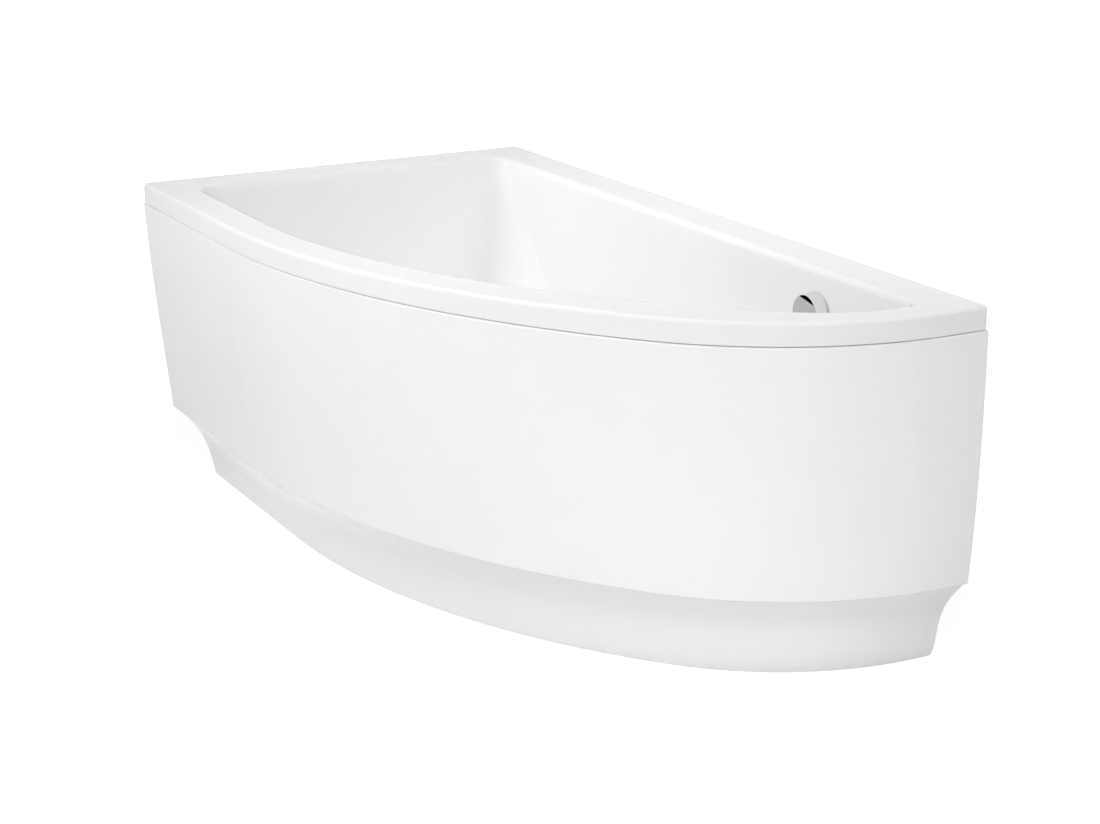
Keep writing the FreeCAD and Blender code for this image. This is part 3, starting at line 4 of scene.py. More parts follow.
import bpy
import numpy as np
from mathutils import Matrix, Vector


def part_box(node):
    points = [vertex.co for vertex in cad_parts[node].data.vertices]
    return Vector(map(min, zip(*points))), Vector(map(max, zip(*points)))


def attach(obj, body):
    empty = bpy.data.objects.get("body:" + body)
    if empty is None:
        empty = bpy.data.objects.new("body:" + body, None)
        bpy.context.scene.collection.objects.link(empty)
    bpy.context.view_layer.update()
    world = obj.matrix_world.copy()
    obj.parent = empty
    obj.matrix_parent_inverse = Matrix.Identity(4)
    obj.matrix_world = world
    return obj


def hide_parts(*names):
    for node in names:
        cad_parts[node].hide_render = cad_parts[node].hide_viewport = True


bl_info = {
    "name": "Corner Bathtub",
    "version": (1, 0, 0),
    "blender": (4, 5, 0),
    "location": "3D View > Sidebar > Bathtub",
    "description": "Moulded shell, front panel, fittings and finishes of a corner bathtub in a white studio",
    "category": "Add Mesh",
}

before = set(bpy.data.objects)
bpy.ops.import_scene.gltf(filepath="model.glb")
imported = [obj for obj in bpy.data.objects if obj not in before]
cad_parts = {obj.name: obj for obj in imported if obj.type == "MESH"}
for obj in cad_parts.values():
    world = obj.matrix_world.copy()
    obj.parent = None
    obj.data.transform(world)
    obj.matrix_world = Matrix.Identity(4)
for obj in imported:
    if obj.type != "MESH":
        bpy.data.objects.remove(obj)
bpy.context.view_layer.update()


# ---- what a user would change ------------------------------------------------------------------
def length(label, note, value, low=0.0):
    """A property in metres."""
    return bpy.props.FloatProperty(name=label, description=note, default=value, min=low, precision=5,
                                   subtype="DISTANCE", unit="LENGTH")


def share(label, note, value):
    """A property from nothing to all."""
    return bpy.props.FloatProperty(name=label, description=note, default=value, min=0.0, max=1.0,
                                   subtype="FACTOR")


def level(label, note, value):
    """A property that starts at nothing and has no upper end."""
    return bpy.props.FloatProperty(name=label, description=note, default=value, min=0.0)


def colour(label, note, value):
    """A linear colour."""
    return bpy.props.FloatVectorProperty(name=label, description=note, default=value, size=3, min=0.0,
                                         max=1.0, subtype="COLOR")


def turn(label, note, degrees):
    """An angle, given in degrees."""
    return bpy.props.FloatProperty(name=label, description=note, default=math.radians(degrees),
                                   subtype="ANGLE", unit="ROTATION")


class StageLook(bpy.types.PropertyGroup):
    """The studio round the bath."""
    backdrop: colour("Backdrop", "Colour of the floor and the air behind the bath", (1.0, 1.0, 1.0))
    floor_half: length("Floor half width", "Half the side of the square floor", 14.0)
    fill: level("Fill", "Strength of the even light from all round", 0.31)
    lift: share("Floor lift", "Glow that takes the seen floor up to white near the bath", 0.72)
    lift_near: length("Near lift", "Distance from the bath's middle to which that glow holds", 1.3)
    lift_far: length("Far lift", "Distance at which the glow alone makes the floor white", 3.2)
    floor_tone: share("Floor tone", "How much of the light the floor gives back", 0.55)
    lamp_level: level("Lamp level", "Multiplies the power of every lamp", 1.0)
    eye: bpy.props.FloatVectorProperty(name="Camera place", description="Where the camera stands",
                                       default=(3.212, -1.704, 1.419), size=3, subtype="TRANSLATION",
                                       unit="LENGTH")
    heading: turn("Camera heading", "Side that the camera looks from, turned from the bath's front", 61.15)
    rise: turn("Camera rise", "Angle by which the camera looks down", 17.25)
    lens: level("Lens", "Focal length in millimetres", 72.03)


class AcrylicLook(bpy.types.PropertyGroup):
    """The cast acrylic of the bath and its front panel."""
    body: colour("Body", "Colour of the acrylic", (0.915, 0.918, 0.92))
    shade: colour("Shade", "Colour of its slightly duller patches", (0.895, 0.899, 0.902))
    # painted shade: darkens the bath's acrylic below the panel's, standing in for shade that falls on the
    # bath
    bath_painted_shade: share("Bath painted shade", "Brightness of the bath beside its panel", 0.955)
    gloss: share("Roughness", "Roughness of the clean surface", 0.09)


class MetalLook(bpy.types.PropertyGroup):
    """Plated, polished and turned metal."""
    chrome: colour("Chrome", "Colour of bright plating", (0.82, 0.83, 0.84))
    zinc: colour("Zinc", "Colour of zinc plating", (0.56, 0.57, 0.58))
    spring: colour("Spring steel", "Colour of bare spring steel", (0.34, 0.35, 0.37))
    stainless: colour("Stainless", "Colour of polished stainless steel", (0.62, 0.62, 0.61))
    brass: colour("Brass", "Colour of turned brass", (0.72, 0.52, 0.23))


class PlasticLook(bpy.types.PropertyGroup):
    """Moulded plastics and rubber."""
    white: colour("White plastic", "Colour of the waste and overflow fittings", (0.80, 0.80, 0.785))
    grey: colour("Grey plastic", "Colour of the cable wheel and the lever", (0.23, 0.24, 0.25))
    black: colour("Black plastic", "Colour of the feet and the tube caps", (0.022, 0.022, 0.024))
    rubber: colour("Rubber", "Colour of the seals", (0.03, 0.03, 0.032))


class BoardLook(bpy.types.PropertyGroup):
    """Raw chipboard."""
    pale: colour("Pale chips", "Colour of the palest wood chips", (0.62, 0.44, 0.26))
    dark: colour("Dark chips", "Colour of the darkest wood chips", (0.24, 0.13, 0.06))


class LaminateLook(bpy.types.PropertyGroup):
    """The sprayed layer of resin and chopped glass on the basin's outside."""
    resin: colour("Resin", "Colour of the resin", (0.60, 0.585, 0.52))
    glass: colour("Glass strands", "Colour of the glass strands in it", (0.80, 0.79, 0.75))
    thick: length("Thickness", "Thickness of the sprayed layer", 0.0022)
    lumps: length("Lumps", "How far the layer rises and falls", 0.0011)
    clear_radius: length("Clear radius", "Radius round the overflow where the layer is trimmed off", 0.047)


class ThreadLook(bpy.types.PropertyGroup):
    """The thread of the levelling feet."""
    pitch: length("Pitch", "Rise of the thread in one turn", 0.00175)
    crest: length("Crest radius", "Radius at the top of the thread", 0.006)
    root: length("Root radius", "Radius at the bottom of the thread", 0.0051)
    chamfer: length("Chamfer", "Length of the bevel at each end", 0.0012)


class WeldLook(bpy.types.PropertyGroup):
    """The weld beads round the nuts of the feet."""
    steel: colour("Bead", "Colour of the bead", (0.42, 0.42, 0.43))
    heated: colour("Heat tint", "Colour of its heated patches", (0.25, 0.22, 0.2))
    radius: length("Ring radius", "Radius of the ring that a bead runs in", 0.0106)
    thick: length("Bead radius", "Radius of the bead's round section", 0.0017)


# ---- nodes -------------------------------------------------------------------------------------
def add(tree, kind, inputs=None, **settings):
    """Adds a node. Each input is a value or another node's output."""
    made = tree.nodes.new(kind)
    for name, value in settings.items():
        setattr(made, name, value)
    for key, value in (inputs or {}).items():
        if isinstance(value, bpy.types.NodeSocket):
            tree.links.new(value, made.inputs[key])
        else:
            made.inputs[key].default_value = value
    return made


def maths(tree, operation, *values):
    """One sum or comparison."""
    return add(tree, "ShaderNodeMath", dict(enumerate(values)), operation=operation).outputs[0]


MIX_SHARE, MIX_FIRST, MIX_SECOND, MIX_RESULT = 0, 6, 7, 2    # places of the colour sockets on a Mix node


def blend_colour(tree, part, first, second):
    """From the first colour to the second."""
    return add(tree, "ShaderNodeMix", {MIX_SHARE: part, MIX_FIRST: first, MIX_SECOND: second},
               data_type="RGBA").outputs[MIX_RESULT]


def reach(tree, value, low, high, out_low=0.0, out_high=1.0):
    """Stretches a value's range, and keeps it inside."""
    return add(tree, "ShaderNodeMapRange", {"Value": value, "From Min": low, "From Max": high,
                                            "To Min": out_low, "To Max": out_high}).outputs[0]


def stretched(tree, place, scale, spin=(0.0, 0.0, 0.0)):
    """Coordinates scaled and turned."""
    return add(tree, "ShaderNodeMapping", {"Vector": place, "Scale": scale, "Rotation": spin}).outputs[0]


def noise(tree, place, scale, detail=3.0, roughness=0.5):
    """Soft noise, about a half."""
    return add(tree, "ShaderNodeTexNoise", {"Vector": place, "Scale": scale, "Detail": detail,
                                            "Roughness": roughness}).outputs[0]


def cells(tree, place, scale):
    """The outputs of a node of random cells."""
    return add(tree, "ShaderNodeTexVoronoi", {"Vector": place, "Scale": scale}).outputs


def mixed(tree, *weighed):
    """The sum of values, each given with its weight."""
    parts = [maths(tree, "MULTIPLY", value, weight) for value, weight in weighed]
    total = parts[0]
    for part in parts[1:]:
        total = maths(tree, "ADD", total, part)
    return total


def rgba(value, part=1.0):
    """A colour, or a part of its brightness, with its alpha."""
    return (*(v * part for v in value), 1.0)


def group_shell(name, inputs, outputs):
    """An empty node group with its sockets."""
    tree = bpy.data.node_groups.new(name, "ShaderNodeTree")
    for label, kind, value in inputs:
        socket = tree.interface.new_socket(name=label, in_out="INPUT", socket_type="NodeSocket" + kind)
        if value is not None:
            socket.default_value = value
    for label, kind in outputs:
        tree.interface.new_socket(name=label, in_out="OUTPUT", socket_type="NodeSocket" + kind)
    return tree, tree.nodes.new("NodeGroupInput").outputs, tree.nodes.new("NodeGroupOutput").inputs


def tone_group():
    """Colour that drifts between two tones in soft patches of one size and in finer ones."""
    tree, given, out = group_shell("Soft tone", [("Place", "Vector", None), ("Body", "Color", (1, 1, 1, 1)),
                                                 ("Shade", "Color", (1, 1, 1, 1)), ("Scale", "Float", 5.0)],
                                   [("Color", "Color"), ("Patch", "Float")])
    broad = noise(tree, given["Place"], given["Scale"], detail=2.0)
    fine = noise(tree, given["Place"], maths(tree, "MULTIPLY", given["Scale"], 9.0), detail=4.0)
    patch = reach(tree, mixed(tree, (broad, 0.7), (fine, 0.3)), 0.36, 0.64)
    tree.links.new(blend_colour(tree, patch, given["Body"], given["Shade"]), out["Color"])
    tree.links.new(patch, out["Patch"])
    return tree


def hairline_group():
    """Thin scratches: the lines where a noise stretched along one way passes its middle, in two ways,
    broken up by a coarser noise."""
    tree, given, out = group_shell("Hairlines", [("Place", "Vector", None), ("Scale", "Float", 20.0),
                                                 ("Width", "Float", 0.01)], [("Mask", "Float")])
    lines = []
    for spin in ((0.3, 0.2, 0.4), (1.1, 0.9, 2.0)):
        along = stretched(tree, given["Place"], (1.0, 9.0, 1.0), spin)
        from_middle = maths(tree, "SUBTRACT", noise(tree, along, given["Scale"], detail=1.0), 0.5)
        lines.append(maths(tree, "LESS_THAN", maths(tree, "ABSOLUTE", from_middle), given["Width"]))
    either = maths(tree, "MAXIMUM", *lines)
    breaks = reach(tree, noise(tree, given["Place"], given["Scale"], detail=2.0), 0.52, 0.6)
    tree.links.new(maths(tree, "MULTIPLY", either, breaks), out["Mask"])
    return tree


def dust_group():
    """Dust that lies where the surface looks up, in uneven drifts."""
    tree, given, out = group_shell("Dust", [("Place", "Vector", None), ("Scale", "Float", 40.0)],
                                   [("Mask", "Float")])
    normal = add(tree, "ShaderNodeNewGeometry").outputs["Normal"]
    upward = add(tree, "ShaderNodeSeparateXYZ", {0: normal}).outputs[2]
    lying = reach(tree, upward, 0.2, 1.0)
    uneven = noise(tree, given["Place"], given["Scale"], detail=5.0, roughness=0.6)
    drift = reach(tree, uneven, 0.42, 0.7)
    tree.links.new(maths(tree, "MULTIPLY", lying, drift), out["Mask"])
    return tree


def grain_group():
    """The fine grain of a mould: small rounded cells under a softer noise."""
    tree, given, out = group_shell("Mould grain", [("Place", "Vector", None), ("Scale", "Float", 900.0)],
                                   [("Height", "Float")])
    dots = cells(tree, given["Place"], given["Scale"])["Distance"]
    soft = noise(tree, given["Place"], maths(tree, "MULTIPLY", given["Scale"], 0.3))
    tree.links.new(maths(tree, "ADD", maths(tree, "MULTIPLY", dots, 0.5), soft), out["Height"])
    return tree


def turning_group():
    """Fine rings left by turning or spinning round an axis through the origin along Z: a ripple in the
    distance from the axis, made uneven by noise."""
    tree, given, out = group_shell("Turning marks", [("Place", "Vector", None), ("Pitch", "Float", 3000.0)],
                                   [("Height", "Float")])
    parts = add(tree, "ShaderNodeSeparateXYZ", {0: given["Place"]})
    flat = add(tree, "ShaderNodeCombineXYZ", {0: parts.outputs[0], 1: parts.outputs[1]}).outputs[0]
    radius = add(tree, "ShaderNodeVectorMath", {0: flat}, operation="LENGTH").outputs["Value"]
    line = add(tree, "ShaderNodeCombineXYZ", {0: radius}).outputs[0]
    tree.links.new(noise(tree, line, given["Pitch"], detail=4.0, roughness=0.7), out["Height"])
    return tree


def plating_group():
    """Crystals of a zinc coat: flat cells of slightly different tone, clouded by noise."""
    tree, given, out = group_shell("Zinc crystals", [("Place", "Vector", None), ("Scale", "Float", 260.0)],
                                   [("Tone", "Float"), ("Height", "Float")])
    flakes = cells(tree, given["Place"], given["Scale"])
    grey = add(tree, "ShaderNodeSeparateColor", {0: flakes["Color"]}).outputs[0]
    cloud = noise(tree, given["Place"], maths(tree, "MULTIPLY", given["Scale"], 0.08), detail=4.0)
    tree.links.new(mixed(tree, (grey, 0.45), (cloud, 0.55)), out["Tone"])
    tree.links.new(flakes["Distance"], out["Height"])
    return tree


def chip_group():
    """Pressed wood chips: long flat cells turned two ways, each with its own tone, and finer fibres."""
    tree, given, out = group_shell("Wood chips", [("Place", "Vector", None), ("Scale", "Float", 170.0)],
                                   [("Tone", "Float"), ("Height", "Float")])
    tones, edges = [], []
    for scale, spin in (((1.0, 3.2, 1.0), (0.2, 0.1, 0.5)), ((2.6, 0.9, 1.4), (0.5, 0.3, 1.3))):
        chips = cells(tree, stretched(tree, given["Place"], scale, spin), given["Scale"])
        tones.append(add(tree, "ShaderNodeSeparateColor", {0: chips["Color"]}).outputs[0])
        edges.append(chips["Distance"])
    along = stretched(tree, given["Place"], (1.0, 9.0, 1.0), (0.0, 0.0, 0.7))
    fibres = noise(tree, along, given["Scale"], detail=5.0, roughness=0.7)
    tree.links.new(mixed(tree, (tones[0], 0.45), (tones[1], 0.3), (fibres, 0.3)), out["Tone"])
    tree.links.new(maths(tree, "ADD", maths(tree, "MULTIPLY", edges[0], 0.6), fibres), out["Height"])
    return tree


def strand_group():
    """Chopped strands in resin: noise stretched long along five ways, kept only where it is highest."""
    tree, given, out = group_shell("Glass strands", [("Place", "Vector", None), ("Scale", "Float", 220.0)],
                                   [("Mask", "Float"), ("Height", "Float")])
    total = None
    for spin in ((0.0, 0.0, 0.0), (0.7, 0.4, 0.9), (1.5, 0.2, 1.7), (0.3, 1.2, 2.4), (2.2, 0.8, 0.5)):
        along = stretched(tree, given["Place"], (0.07, 1.0, 1.0), spin)
        strand = reach(tree, noise(tree, along, given["Scale"], detail=1.0), 0.6, 0.68)
        total = strand if total is None else maths(tree, "MAXIMUM", total, strand)
    tree.links.new(total, out["Mask"])
    cloud = noise(tree, given["Place"], maths(tree, "MULTIPLY", given["Scale"], 0.2), detail=4.0,
                  roughness=0.6)
    tree.links.new(maths(tree, "ADD", maths(tree, "MULTIPLY", total, 0.35), cloud), out["Height"])
    return tree


EFFECTS = {
    "tone": tone_group,
    "hairlines": hairline_group,
    "dust": dust_group,
    "grain": grain_group,
    "turning": turning_group,
    "plating": plating_group,
    "chips": chip_group,
    "strands": strand_group,
}
built_effects = {}


def effect(tree, name, place, **inputs):
    """Places a shared effect in a material. Each group is built the first time it is used."""
    if name not in built_effects:
        built_effects[name] = EFFECTS[name]()
    made = tree.nodes.new("ShaderNodeGroup")
    made.node_tree = built_effects[name]
    tree.links.new(place, made.inputs["Place"])
    for key, value in inputs.items():
        made.inputs[key].default_value = value
    return made.outputs


# ---- finishes ----------------------------------------------------------------------------------
DUST_TINT = (0.45, 0.43, 0.40)


def new_finish(name, **plain):
    """A material, its tree, its shader with plain values set, and the piece's own coordinates."""
    material = bpy.data.materials.new(name)
    material.use_nodes = True
    tree = material.node_tree
    shader = tree.nodes["Principled BSDF"]
    for key, value in plain.items():
        shader.inputs[key.replace("_", " ")].default_value = value
    place = add(tree, "ShaderNodeTexCoord").outputs["Object"]
    return material, tree, shader.inputs, place


def bump(tree, shader, height, depth):
    """Feeds a height into the shader's normal: a height of 1 stands `depth` metres up."""
    made = add(tree, "ShaderNodeBump", {"Height": height, "Distance": depth, "Strength": 1.0})
    tree.links.new(made.outputs[0], shader["Normal"])


def acrylic(name, look, part, ripple):
    """Glossy cast acrylic: a soft drift of tone, faint hairlines, and the slow ripple of a drawn sheet
    under a fine orange peel. Its colours are scaled by part, which for the bath darkens it as painted shade."""
    material, tree, shader, place = new_finish(name, IOR=1.49)
    # part scales both colours; for the bath it is below 1, which is painted shade
    tone = effect(tree, "tone", place, Body=rgba(look.body, part), Shade=rgba(look.shade, part), Scale=3.0)
    tree.links.new(tone["Color"], shader["Base Color"])
    lines = effect(tree, "hairlines", place, Scale=26.0, Width=0.0025)["Mask"]
    clean = reach(tree, tone["Patch"], 0.0, 1.0, look.gloss, look.gloss + 0.05)
    tree.links.new(maths(tree, "ADD", clean, maths(tree, "MULTIPLY", lines, 0.12)), shader["Roughness"])
    slow = noise(tree, place, scale=6.0, detail=1.0)
    peel = noise(tree, place, scale=130.0, detail=2.0)
    bump(tree, shader, maths(tree, "ADD", slow, maths(tree, "MULTIPLY", peel, 0.012)), ripple)
    return material


def plated(name, tint, rough):
    """Bright plating with thumb smears and dried water spots."""
    material, tree, shader, place = new_finish(name, Metallic=1.0)
    tone = effect(tree, "tone", place, Body=rgba(tint), Shade=rgba(tint, 0.94), Scale=45.0)
    tree.links.new(tone["Color"], shader["Base Color"])
    from_spot_edge = maths(tree, "SUBTRACT", cells(tree, place, scale=210.0)["Distance"], 0.3)
    ring = reach(tree, maths(tree, "ABSOLUTE", from_spot_edge), 0.0, 0.05, 1.0, 0.0)
    wet = maths(tree, "MULTIPLY", ring, reach(tree, noise(tree, place, scale=60.0), 0.55, 0.7))
    smear = reach(tree, tone["Patch"], 0.0, 1.0, rough, rough + 0.05)
    tree.links.new(maths(tree, "ADD", smear, maths(tree, "MULTIPLY", wet, 0.06)), shader["Roughness"])
    return material


def turned(name, tint, rough, pitch, depth, centre, spin=(0.0, 0.0, 0.0)):
    """Metal turned on a lathe: fine rings round its own axis, and a few hairlines."""
    material, tree, shader, place = new_finish(name, Metallic=1.0)
    tone = effect(tree, "tone", place, Body=rgba(tint), Shade=rgba(tint, 0.9), Scale=60.0)
    tree.links.new(tone["Color"], shader["Base Color"])
    shifted = add(tree, "ShaderNodeMapping", {"Vector": place, "Location": [-v for v in centre]}).outputs[0]
    about = stretched(tree, shifted, (1.0, 1.0, 1.0), spin)
    rings = effect(tree, "turning", about, Pitch=pitch)["Height"]
    lines = effect(tree, "hairlines", place, Scale=240.0, Width=0.004)["Mask"]
    marks = maths(tree, "ADD", rings, lines)
    tree.links.new(reach(tree, marks, 0.3, 1.4, rough, rough + 0.15), shader["Roughness"])
    bump(tree, shader, rings, depth)
    return material


def zinc(name, tint, rough):
    """Zinc-plated steel: crystals, a faint yellow bloom, hairlines and dust on what looks up."""
    material, tree, shader, place = new_finish(name, Metallic=1.0)
    coat = effect(tree, "plating", place, Scale=260.0)
    yellowed = rgba((tint[0] * 1.02, tint[1] * 0.96, tint[2] * 0.78))
    bloom = reach(tree, noise(tree, place, scale=22.0), 0.5, 0.75, 0.0, 0.35)
    dull = reach(tree, coat["Tone"], 0.25, 0.75, 0.55, 0.0)
    plate = blend_colour(tree, bloom, rgba(tint), yellowed)
    tree.links.new(blend_colour(tree, dull, plate, rgba(tint, 0.62)), shader["Base Color"])
    lines = effect(tree, "hairlines", place, Scale=90.0, Width=0.006)["Mask"]
    dust = effect(tree, "dust", place, Scale=55.0)["Mask"]
    worn = maths(tree, "ADD", reach(tree, coat["Tone"], 0.2, 0.8, rough, rough + 0.14),
                 maths(tree, "MULTIPLY", lines, 0.1))
    tree.links.new(maths(tree, "ADD", worn, maths(tree, "MULTIPLY", dust, 0.25)), shader["Roughness"])
    tree.links.new(reach(tree, dust, 0.0, 1.0, 1.0, 0.75), shader["Metallic"])
    bump(tree, shader, coat["Height"], 0.00002)
    return material


def moulded(name, tint, rough, scale, depth, dusty):
    """Moulded plastic: the mould's grain, a soft drift of tone, and dust on what looks up."""
    material, tree, shader, place = new_finish(name, IOR=1.5)
    tone = effect(tree, "tone", place, Body=rgba(tint), Shade=rgba(tint, 0.88), Scale=30.0)
    dust = effect(tree, "dust", place, Scale=70.0)["Mask"]
    covered = maths(tree, "MULTIPLY", dust, dusty)
    tree.links.new(blend_colour(tree, covered, tone["Color"], rgba(DUST_TINT)), shader["Base Color"])
    lines = effect(tree, "hairlines", place, Scale=120.0, Width=0.005)["Mask"]
    worn = maths(tree, "ADD", reach(tree, tone["Patch"], 0.0, 1.0, rough, rough + 0.1),
                 maths(tree, "MULTIPLY", lines, 0.12))
    tree.links.new(maths(tree, "ADD", worn, maths(tree, "MULTIPLY", dust, 0.3)), shader["Roughness"])
    bump(tree, shader, effect(tree, "grain", place, Scale=scale)["Height"], depth)
    return material


def chipboard(name, look):
    """Raw chipboard: chips of many browns, and open between them."""
    material, tree, shader, place = new_finish(name, Roughness=0.82, IOR=1.45)
    chips = effect(tree, "chips", place, Scale=170.0)
    tone = reach(tree, chips["Tone"], 0.25, 0.85)
    tree.links.new(blend_colour(tree, tone, rgba(look.dark), rgba(look.pale)), shader["Base Color"])
    bump(tree, shader, chips["Height"], 0.0004)
    return material


def laminate(name, look):
    """Sprayed resin and glass: strands under a lumpy, half-gloss resin that pools darker in places."""
    material, tree, shader, place = new_finish(name, IOR=1.53)
    strands = effect(tree, "strands", place, Scale=220.0)
    pools = reach(tree, noise(tree, place, scale=16.0), 0.35, 0.7)
    base = blend_colour(tree, pools, rgba(look.resin), rgba(look.resin, 0.86))
    glassy = maths(tree, "MULTIPLY", strands["Mask"], 0.75)
    tree.links.new(blend_colour(tree, glassy, base, rgba(look.glass)), shader["Base Color"])
    tree.links.new(reach(tree, pools, 0.0, 1.0, 0.5, 0.3), shader["Roughness"])
    bump(tree, shader, strands["Height"], 0.0006)
    return material


def weld(name, look):
    """A weld bead under zinc: dull, darker than the plate, with a heat tint."""
    material, tree, shader, place = new_finish(name, Metallic=1.0)
    heat = reach(tree, noise(tree, place, scale=240.0), 0.35, 0.65)
    tree.links.new(blend_colour(tree, heat, rgba(look.steel), rgba(look.heated)), shader["Base Color"])
    rough = noise(tree, place, scale=900.0)
    tree.links.new(reach(tree, rough, 0.3, 0.7, 0.38, 0.55), shader["Roughness"])
    bump(tree, shader, rough, 0.0001)
    return material


# ---- shapes ------------------------------------------------------------------------------------
def middle(node):
    """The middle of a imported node's box."""
    low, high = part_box(node)
    return (low + high) / 2


QUARTER = math.pi / 2
FEET = ("front_left", "back_left", "front_right", "back_right")

# the basin as in the part, in metres. Its outer sizes are read to a tenth of a millimetre
BATH_LOW, BATH_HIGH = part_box("tub_shell")
HALF_LENGTH, HALF_WIDTH, HEIGHT = round(-BATH_LOW.x, 4), round(BATH_HIGH.y, 4), round(BATH_HIGH.z, 4)
BASIN_DEPTH, FLOOR_ROUND, SKIN = 0.42, 0.062, 0.005
# each wall's place in from the deck's edge, and its slope: left, back, front, right
BASIN_WALLS = ((0.1, math.radians(31)), (0.089, math.radians(3)), (0.074, math.radians(6)),
               (0.062, math.radians(17)))
# how far the front's large arc turns, and the wall corners' radii: front left, back left, back right
MOUTH_TURN, FLOOR_TURN = math.radians(50), math.radians(36)
MOUTH_CORNERS, FLOOR_CORNERS = (0.04, 0.022, 0.025), (0.15, 0.14, 0.11)
# the straight at the right end, the X where the large arc starts at the mouth, and its shift at the floor
BASIN_END_RUN, ARC_START, ARC_SHIFT = 0.005, -0.325, 0.1
OVERFLOW_X, OVERFLOW_Z = round(middle("overflow_rosette").x, 4), round(middle("overflow_rosette").z, 4)

# the sprayed layer
LAYER_TOP, LAYER_TURN = 0.014, math.radians(80)      # its top under the deck, its way into the floor's turn
WALL_RINGS, TURN_RINGS = 40, 14
RING_STEPS = (30, 90, 44, 4, 12, 120, 20, 60, 20)    # points on each of the plan's nine runs
SKIN_GAP, PROBE = 0.0001, 0.01                       # gap to the shell, the step that finds its normal
THINNEST, THICKEST, THIN_EDGE = 0.0006, 0.005, 0.0002
TRIM_FADE, EDGE_FADE = 0.012, 6.0                    # width of the trim's slope, steepness at both ends
BACK_WALL_FROM = 0.25                                # the wall with the overflow lies beyond this Y
LUMP_WAVES, LUMP_SPREAD, LUMP_LEVEL = 14, (0.5, 2.2), 5.0    # waves, their lengths over the size, a divisor
BROAD_LUMPS, FINE_LUMPS, FINE_SHARE = 0.05, 0.014, 0.6

# the threads: rows in a turn and points round it, and how steep the wave is and how far it is lowered, which
# leave it flat at the crest and at the root
THREAD_ROWS, THREAD_AROUND = 7, 20
THREAD_GAIN, THREAD_CUT = 1.3, 0.12

# the weld beads: points along and round one, and its scales, then parts of its radius (least, at a scale,
# slow swell), then in metres its wander, and its middle under the tube and its top over that
BEAD_ALONG, BEAD_AROUND, BEAD_SCALES = 168, 10, 30
BEAD_LEAST, BEAD_RISE, BEAD_SWELL = 0.86, 0.14, 0.06
BEAD_WANDER, BEAD_SUNK, BEAD_TOP = 0.0002, 0.0006, 0.0004


def grid_faces(rows, columns, first=0):
    """Quads of a grid of points that run row by row. Each row closes on itself."""
    row = np.arange(rows - 1)[:, None] * columns + first
    here = np.arange(columns)[None, :]
    after = (here + 1) % columns
    return np.stack([row + here, row + after, row + columns + after, row + columns + here], -1).reshape(-1, 4)


def closed_grid(rows, columns, first=0):
    """Quads of a grid of points that closes both along its rows and from its last row to its first."""
    here = np.arange(columns)
    after = (here + 1) % columns
    last = (rows - 1) * columns
    closing = np.stack([last + here, last + after, after, here], -1) + first
    return np.concatenate([grid_faces(rows, columns, first), closing])


def cap_faces(start, columns, pole, outward_up):
    """Triangles from a closed row of points to a pole."""
    here = np.arange(columns)
    after = (here + 1) % columns
    ends = (here, after) if outward_up else (after, here)
    return np.stack([start + ends[0], start + ends[1], np.full(columns, pole)], -1)


def new_piece(name, points, faces, body, material):
    """Puts worked-out points and faces into a smooth piece that rides on a body."""
    mesh = bpy.data.meshes.new(name)
    mesh.from_pydata(points.reshape(-1, 3), [], [face for block in faces for face in block.tolist()])
    mesh.polygons.foreach_set("use_smooth", np.ones(len(mesh.polygons), bool))
    mesh.materials.append(material)
    mesh.validate()
    made = bpy.data.objects.new(name, mesh)
    bpy.context.scene.collection.objects.link(made)
    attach(made, body)
    return made


def arc_points(centre, radius, start, end, steps):
    """Points on an arc about a centre, at angles from the -Y direction towards +X. The last is left out."""
    angle = np.linspace(start, end, steps, endpoint=False)
    return np.stack([centre[0] + radius * np.sin(angle), centre[1] - radius * np.cos(angle)], -1)


def run_points(start, end, steps):
    """Points on a straight run. The last is left out."""
    along = np.linspace(0.0, 1.0, steps, endpoint=False)[:, None]
    return np.asarray(start) + along * (np.asarray(end) - np.asarray(start))


def plan_ring(left, right, front, back, end_run, turning, arc_start, corners, steps):
    """Points round the bath's plan: a straight front, a large arc that turns by `turning`, a small arc up
    to 90 degrees and a short straight end, then the two straight wall sides. The two radii follow from
    the tangents meeting with no kink, and the three wall corners are quarter arcs."""
    front_left, back_left, back_right = corners
    s, c = math.sin(turning), math.cos(turning)
    across, along = right - arc_start, back - back_right - end_run - front
    large = (across * c - (1 - s) * along) / (s + c - 1)
    small = (s * along - (1 - c) * across) / (s + c - 1)
    centre = np.array([arc_start, front + large])
    second = centre + (large - small) * np.array([s, -c])
    return np.concatenate([
        run_points((left + front_left, front), (arc_start, front), steps[0]),
        arc_points(centre, large, 0.0, turning, steps[1]),
        arc_points(second, small, turning, QUARTER, steps[2]),
        run_points((right, second[1]), (right, back - back_right), steps[3]),
        arc_points((right - back_right, back - back_right), back_right, QUARTER, 2 * QUARTER, steps[4]),
        run_points((right - back_right, back), (left + back_left, back), steps[5]),
        arc_points((left + back_left, back - back_left), back_left, 2 * QUARTER, 3 * QUARTER, steps[6]),
        run_points((left, back - back_left), (left, front + front_left), steps[7]),
        arc_points((left + front_left, front + front_left), front_left, 3 * QUARTER, 4 * QUARTER, steps[8]),
    ])


def wall_inset(slope, depth, grow):
    """How far a basin wall stands in from the deck's edge at a depth: a straight slope, then a round turn
    into the floor, moved out by `grow` normal to the wall."""
    straight = BASIN_DEPTH - FLOOR_ROUND
    inset = np.minimum(depth, straight) * math.tan(slope) - grow / math.cos(slope)
    radius = (FLOOR_ROUND + grow) / (1 - math.sin(slope))
    steep = np.clip(math.sin(slope) + (depth - straight) / radius, -1.0, 1.0)
    rounding = radius * (math.cos(slope) - np.sqrt(1 - steep ** 2))
    return inset + np.where(depth > straight, rounding, 0.0)


